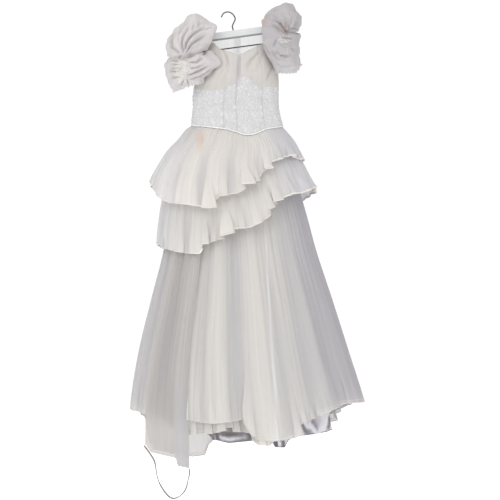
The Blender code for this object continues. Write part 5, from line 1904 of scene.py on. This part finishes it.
def dress_ornament(lace, patches):
    tree = scatter_tree("scatter_motif")
    motifs = {
        "flower": flower_mesh("flower", 5, 0.0018, 0.0048, 0.0012),
        "leaf": scroll_mesh("leaf", 0.013, 0.0019, 0.0011),
        "pearl": pearl_mesh("pearl_bead", 0.0021),
    }
    midriff = joined_surface("midriff_surface", lace)
    # Columns: name, surface, motif, finish, spacing, density, least and largest size, lift, seed
    ornament = [
        ("lace_flowers", midriff, "flower", "motif", 0.0115, 20000.0, 0.75, 1.3, 0.0004, 3),
        ("lace_leaves", midriff, "leaf", "motif", 0.0075, 30000.0, 0.6, 1.1, 0.0003, 8),
        ("lace_beads", midriff, "pearl", "pearl", 0.009, 20000.0, 0.28, 0.5, 0.001, 12),
    ]
    for patch in patches:
        name = patch.name.replace("cloth_", "")
        ornament.append((name + "_pearls", patch, "pearl", "pearl", 0.0052, 60000.0, 0.6, 1.15, 0.0008, 5))
        ornament.append((name + "_flowers", patch, "flower", "motif", 0.011, 30000.0, 0.8, 1.3, 0.0004, 9))
    labels = ("Spacing", "Density", "Least size", "Largest size", "Lift", "Seed")
    for name, surface, motif, finish, *numbers in ornament:
        values = {"Motif": motifs[motif], **dict(zip(labels, numbers))}
        scatter(name, surface, tree, values, FINISHES[finish])


# Studio

SENSOR = 36.0
CAMERA_DISTANCE = 20.0
PHOTO_SPAN = 1.8  # metres across the photo's frame, at the hanger
VIEW_CENTRE = Vector((0.0792, 0.0, -0.855))
FLOOR = -1.80  # height, in metres
FLOOR_RADIUS = 14.0
LIGHT_FROM = (-0.30, -0.80, 0.52)  # direction of the brightest part of the room
LAMP_TARGET = Vector((0.08, 0.0, -0.9))
# Lamps. Columns: name, place, size in metres, watts
LAMPS = (
    ("key", (-2.2, -4.6, 2.2), 1.6, 46.0),
    ("top", (0.4, -1.2, 3.0), 1.6, 16.0),
    ("back", (0.6, 5.2, 1.6), 2.2, 34.0),
)


def sky():
    """A pale room: brightest behind the camera, dimmer and cooler at the sides, white at the height of the eye."""
    world = bpy.data.worlds.new("studio")
    world.use_nodes = True
    board = Board(world.node_tree)
    direction = board.node("ShaderNodeTexCoord", output="Generated")
    towards = board.node("ShaderNodeVectorMath", {0: direction, 1: LIGHT_FROM}, "Value", operation="DOT_PRODUCT")
    up, = board.parted(direction, 2)
    level = board.node("ShaderNodeMath", {0: up}, operation="ABSOLUTE")
    band = board.ramp(level, 0.07, 0.15, 1.0, 0.0)
    share = board.ramp(towards, -0.35, 0.95)
    tint = board.colour_mix(share, (0.44, 0.45, 0.50, 1.0), (1.22, 1.20, 1.16, 1.0))
    board.put(world.node_tree.nodes["Background"].inputs[0], board.colour_mix(band, tint, (1.04, 1.04, 1.04, 1.0)))
    bpy.context.scene.world = world


def studio():
    """A white floor, the room, three lamps and the camera of the photo."""
    count = 64
    turns = [2 * math.pi * index / count for index in range(count)]
    points = [(FLOOR_RADIUS * math.cos(turn), FLOOR_RADIUS * math.sin(turn), FLOOR) for turn in turns]
    mesh = bpy.data.meshes.new("floor")
    mesh.from_pydata(points, [], [tuple(range(count))])
    floor = bpy.data.objects.new("floor", mesh)
    paint = Paint("floor_white")
    paint.set(Base_Color=(0.9, 0.9, 0.9, 1.0), Roughness=0.9, Emission_Color=(1.0, 1.0, 1.0, 1.0),
              Emission_Strength=0.45)
    mesh.materials.append(paint.finish())
    bpy.context.scene.collection.objects.link(floor)
    sky()
    for name, place, size, power in LAMPS:
        lamp = bpy.data.lights.new(name, "AREA")
        lamp.size = size
        lamp.energy = power
        obj = bpy.data.objects.new(name, lamp)
        bpy.context.scene.collection.objects.link(obj)
        obj.location = place
        obj.rotation_euler = (LAMP_TARGET - Vector(place)).to_track_quat("-Z", "Y").to_euler()
    camera = bpy.data.cameras.new("camera")
    camera.sensor_width = SENSOR
    camera.lens = SENSOR * CAMERA_DISTANCE / PHOTO_SPAN
    obj = bpy.data.objects.new("camera", camera)
    obj.location = VIEW_CENTRE + Vector((0.0, -CAMERA_DISTANCE, 0.0))
    obj.rotation_euler = (math.pi / 2, 0.0, 0.0)
    bpy.context.scene.collection.objects.link(obj)
    bpy.context.scene.camera = obj
    bpy.context.scene.view_settings.view_transform = "Standard"


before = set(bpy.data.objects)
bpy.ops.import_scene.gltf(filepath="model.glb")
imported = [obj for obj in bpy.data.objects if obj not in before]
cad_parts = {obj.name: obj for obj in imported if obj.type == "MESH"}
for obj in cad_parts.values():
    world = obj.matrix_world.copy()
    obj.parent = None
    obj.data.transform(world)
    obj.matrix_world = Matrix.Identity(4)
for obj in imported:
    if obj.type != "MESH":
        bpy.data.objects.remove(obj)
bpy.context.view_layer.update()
studio()
dress_hanger()
lace_panels = dress_bodice()
dress_shoulders()
sleeve_patches = dress_sleeves()
dress_skirts()
dress_loop()
dress_ornament(lace_panels, sleeve_patches)
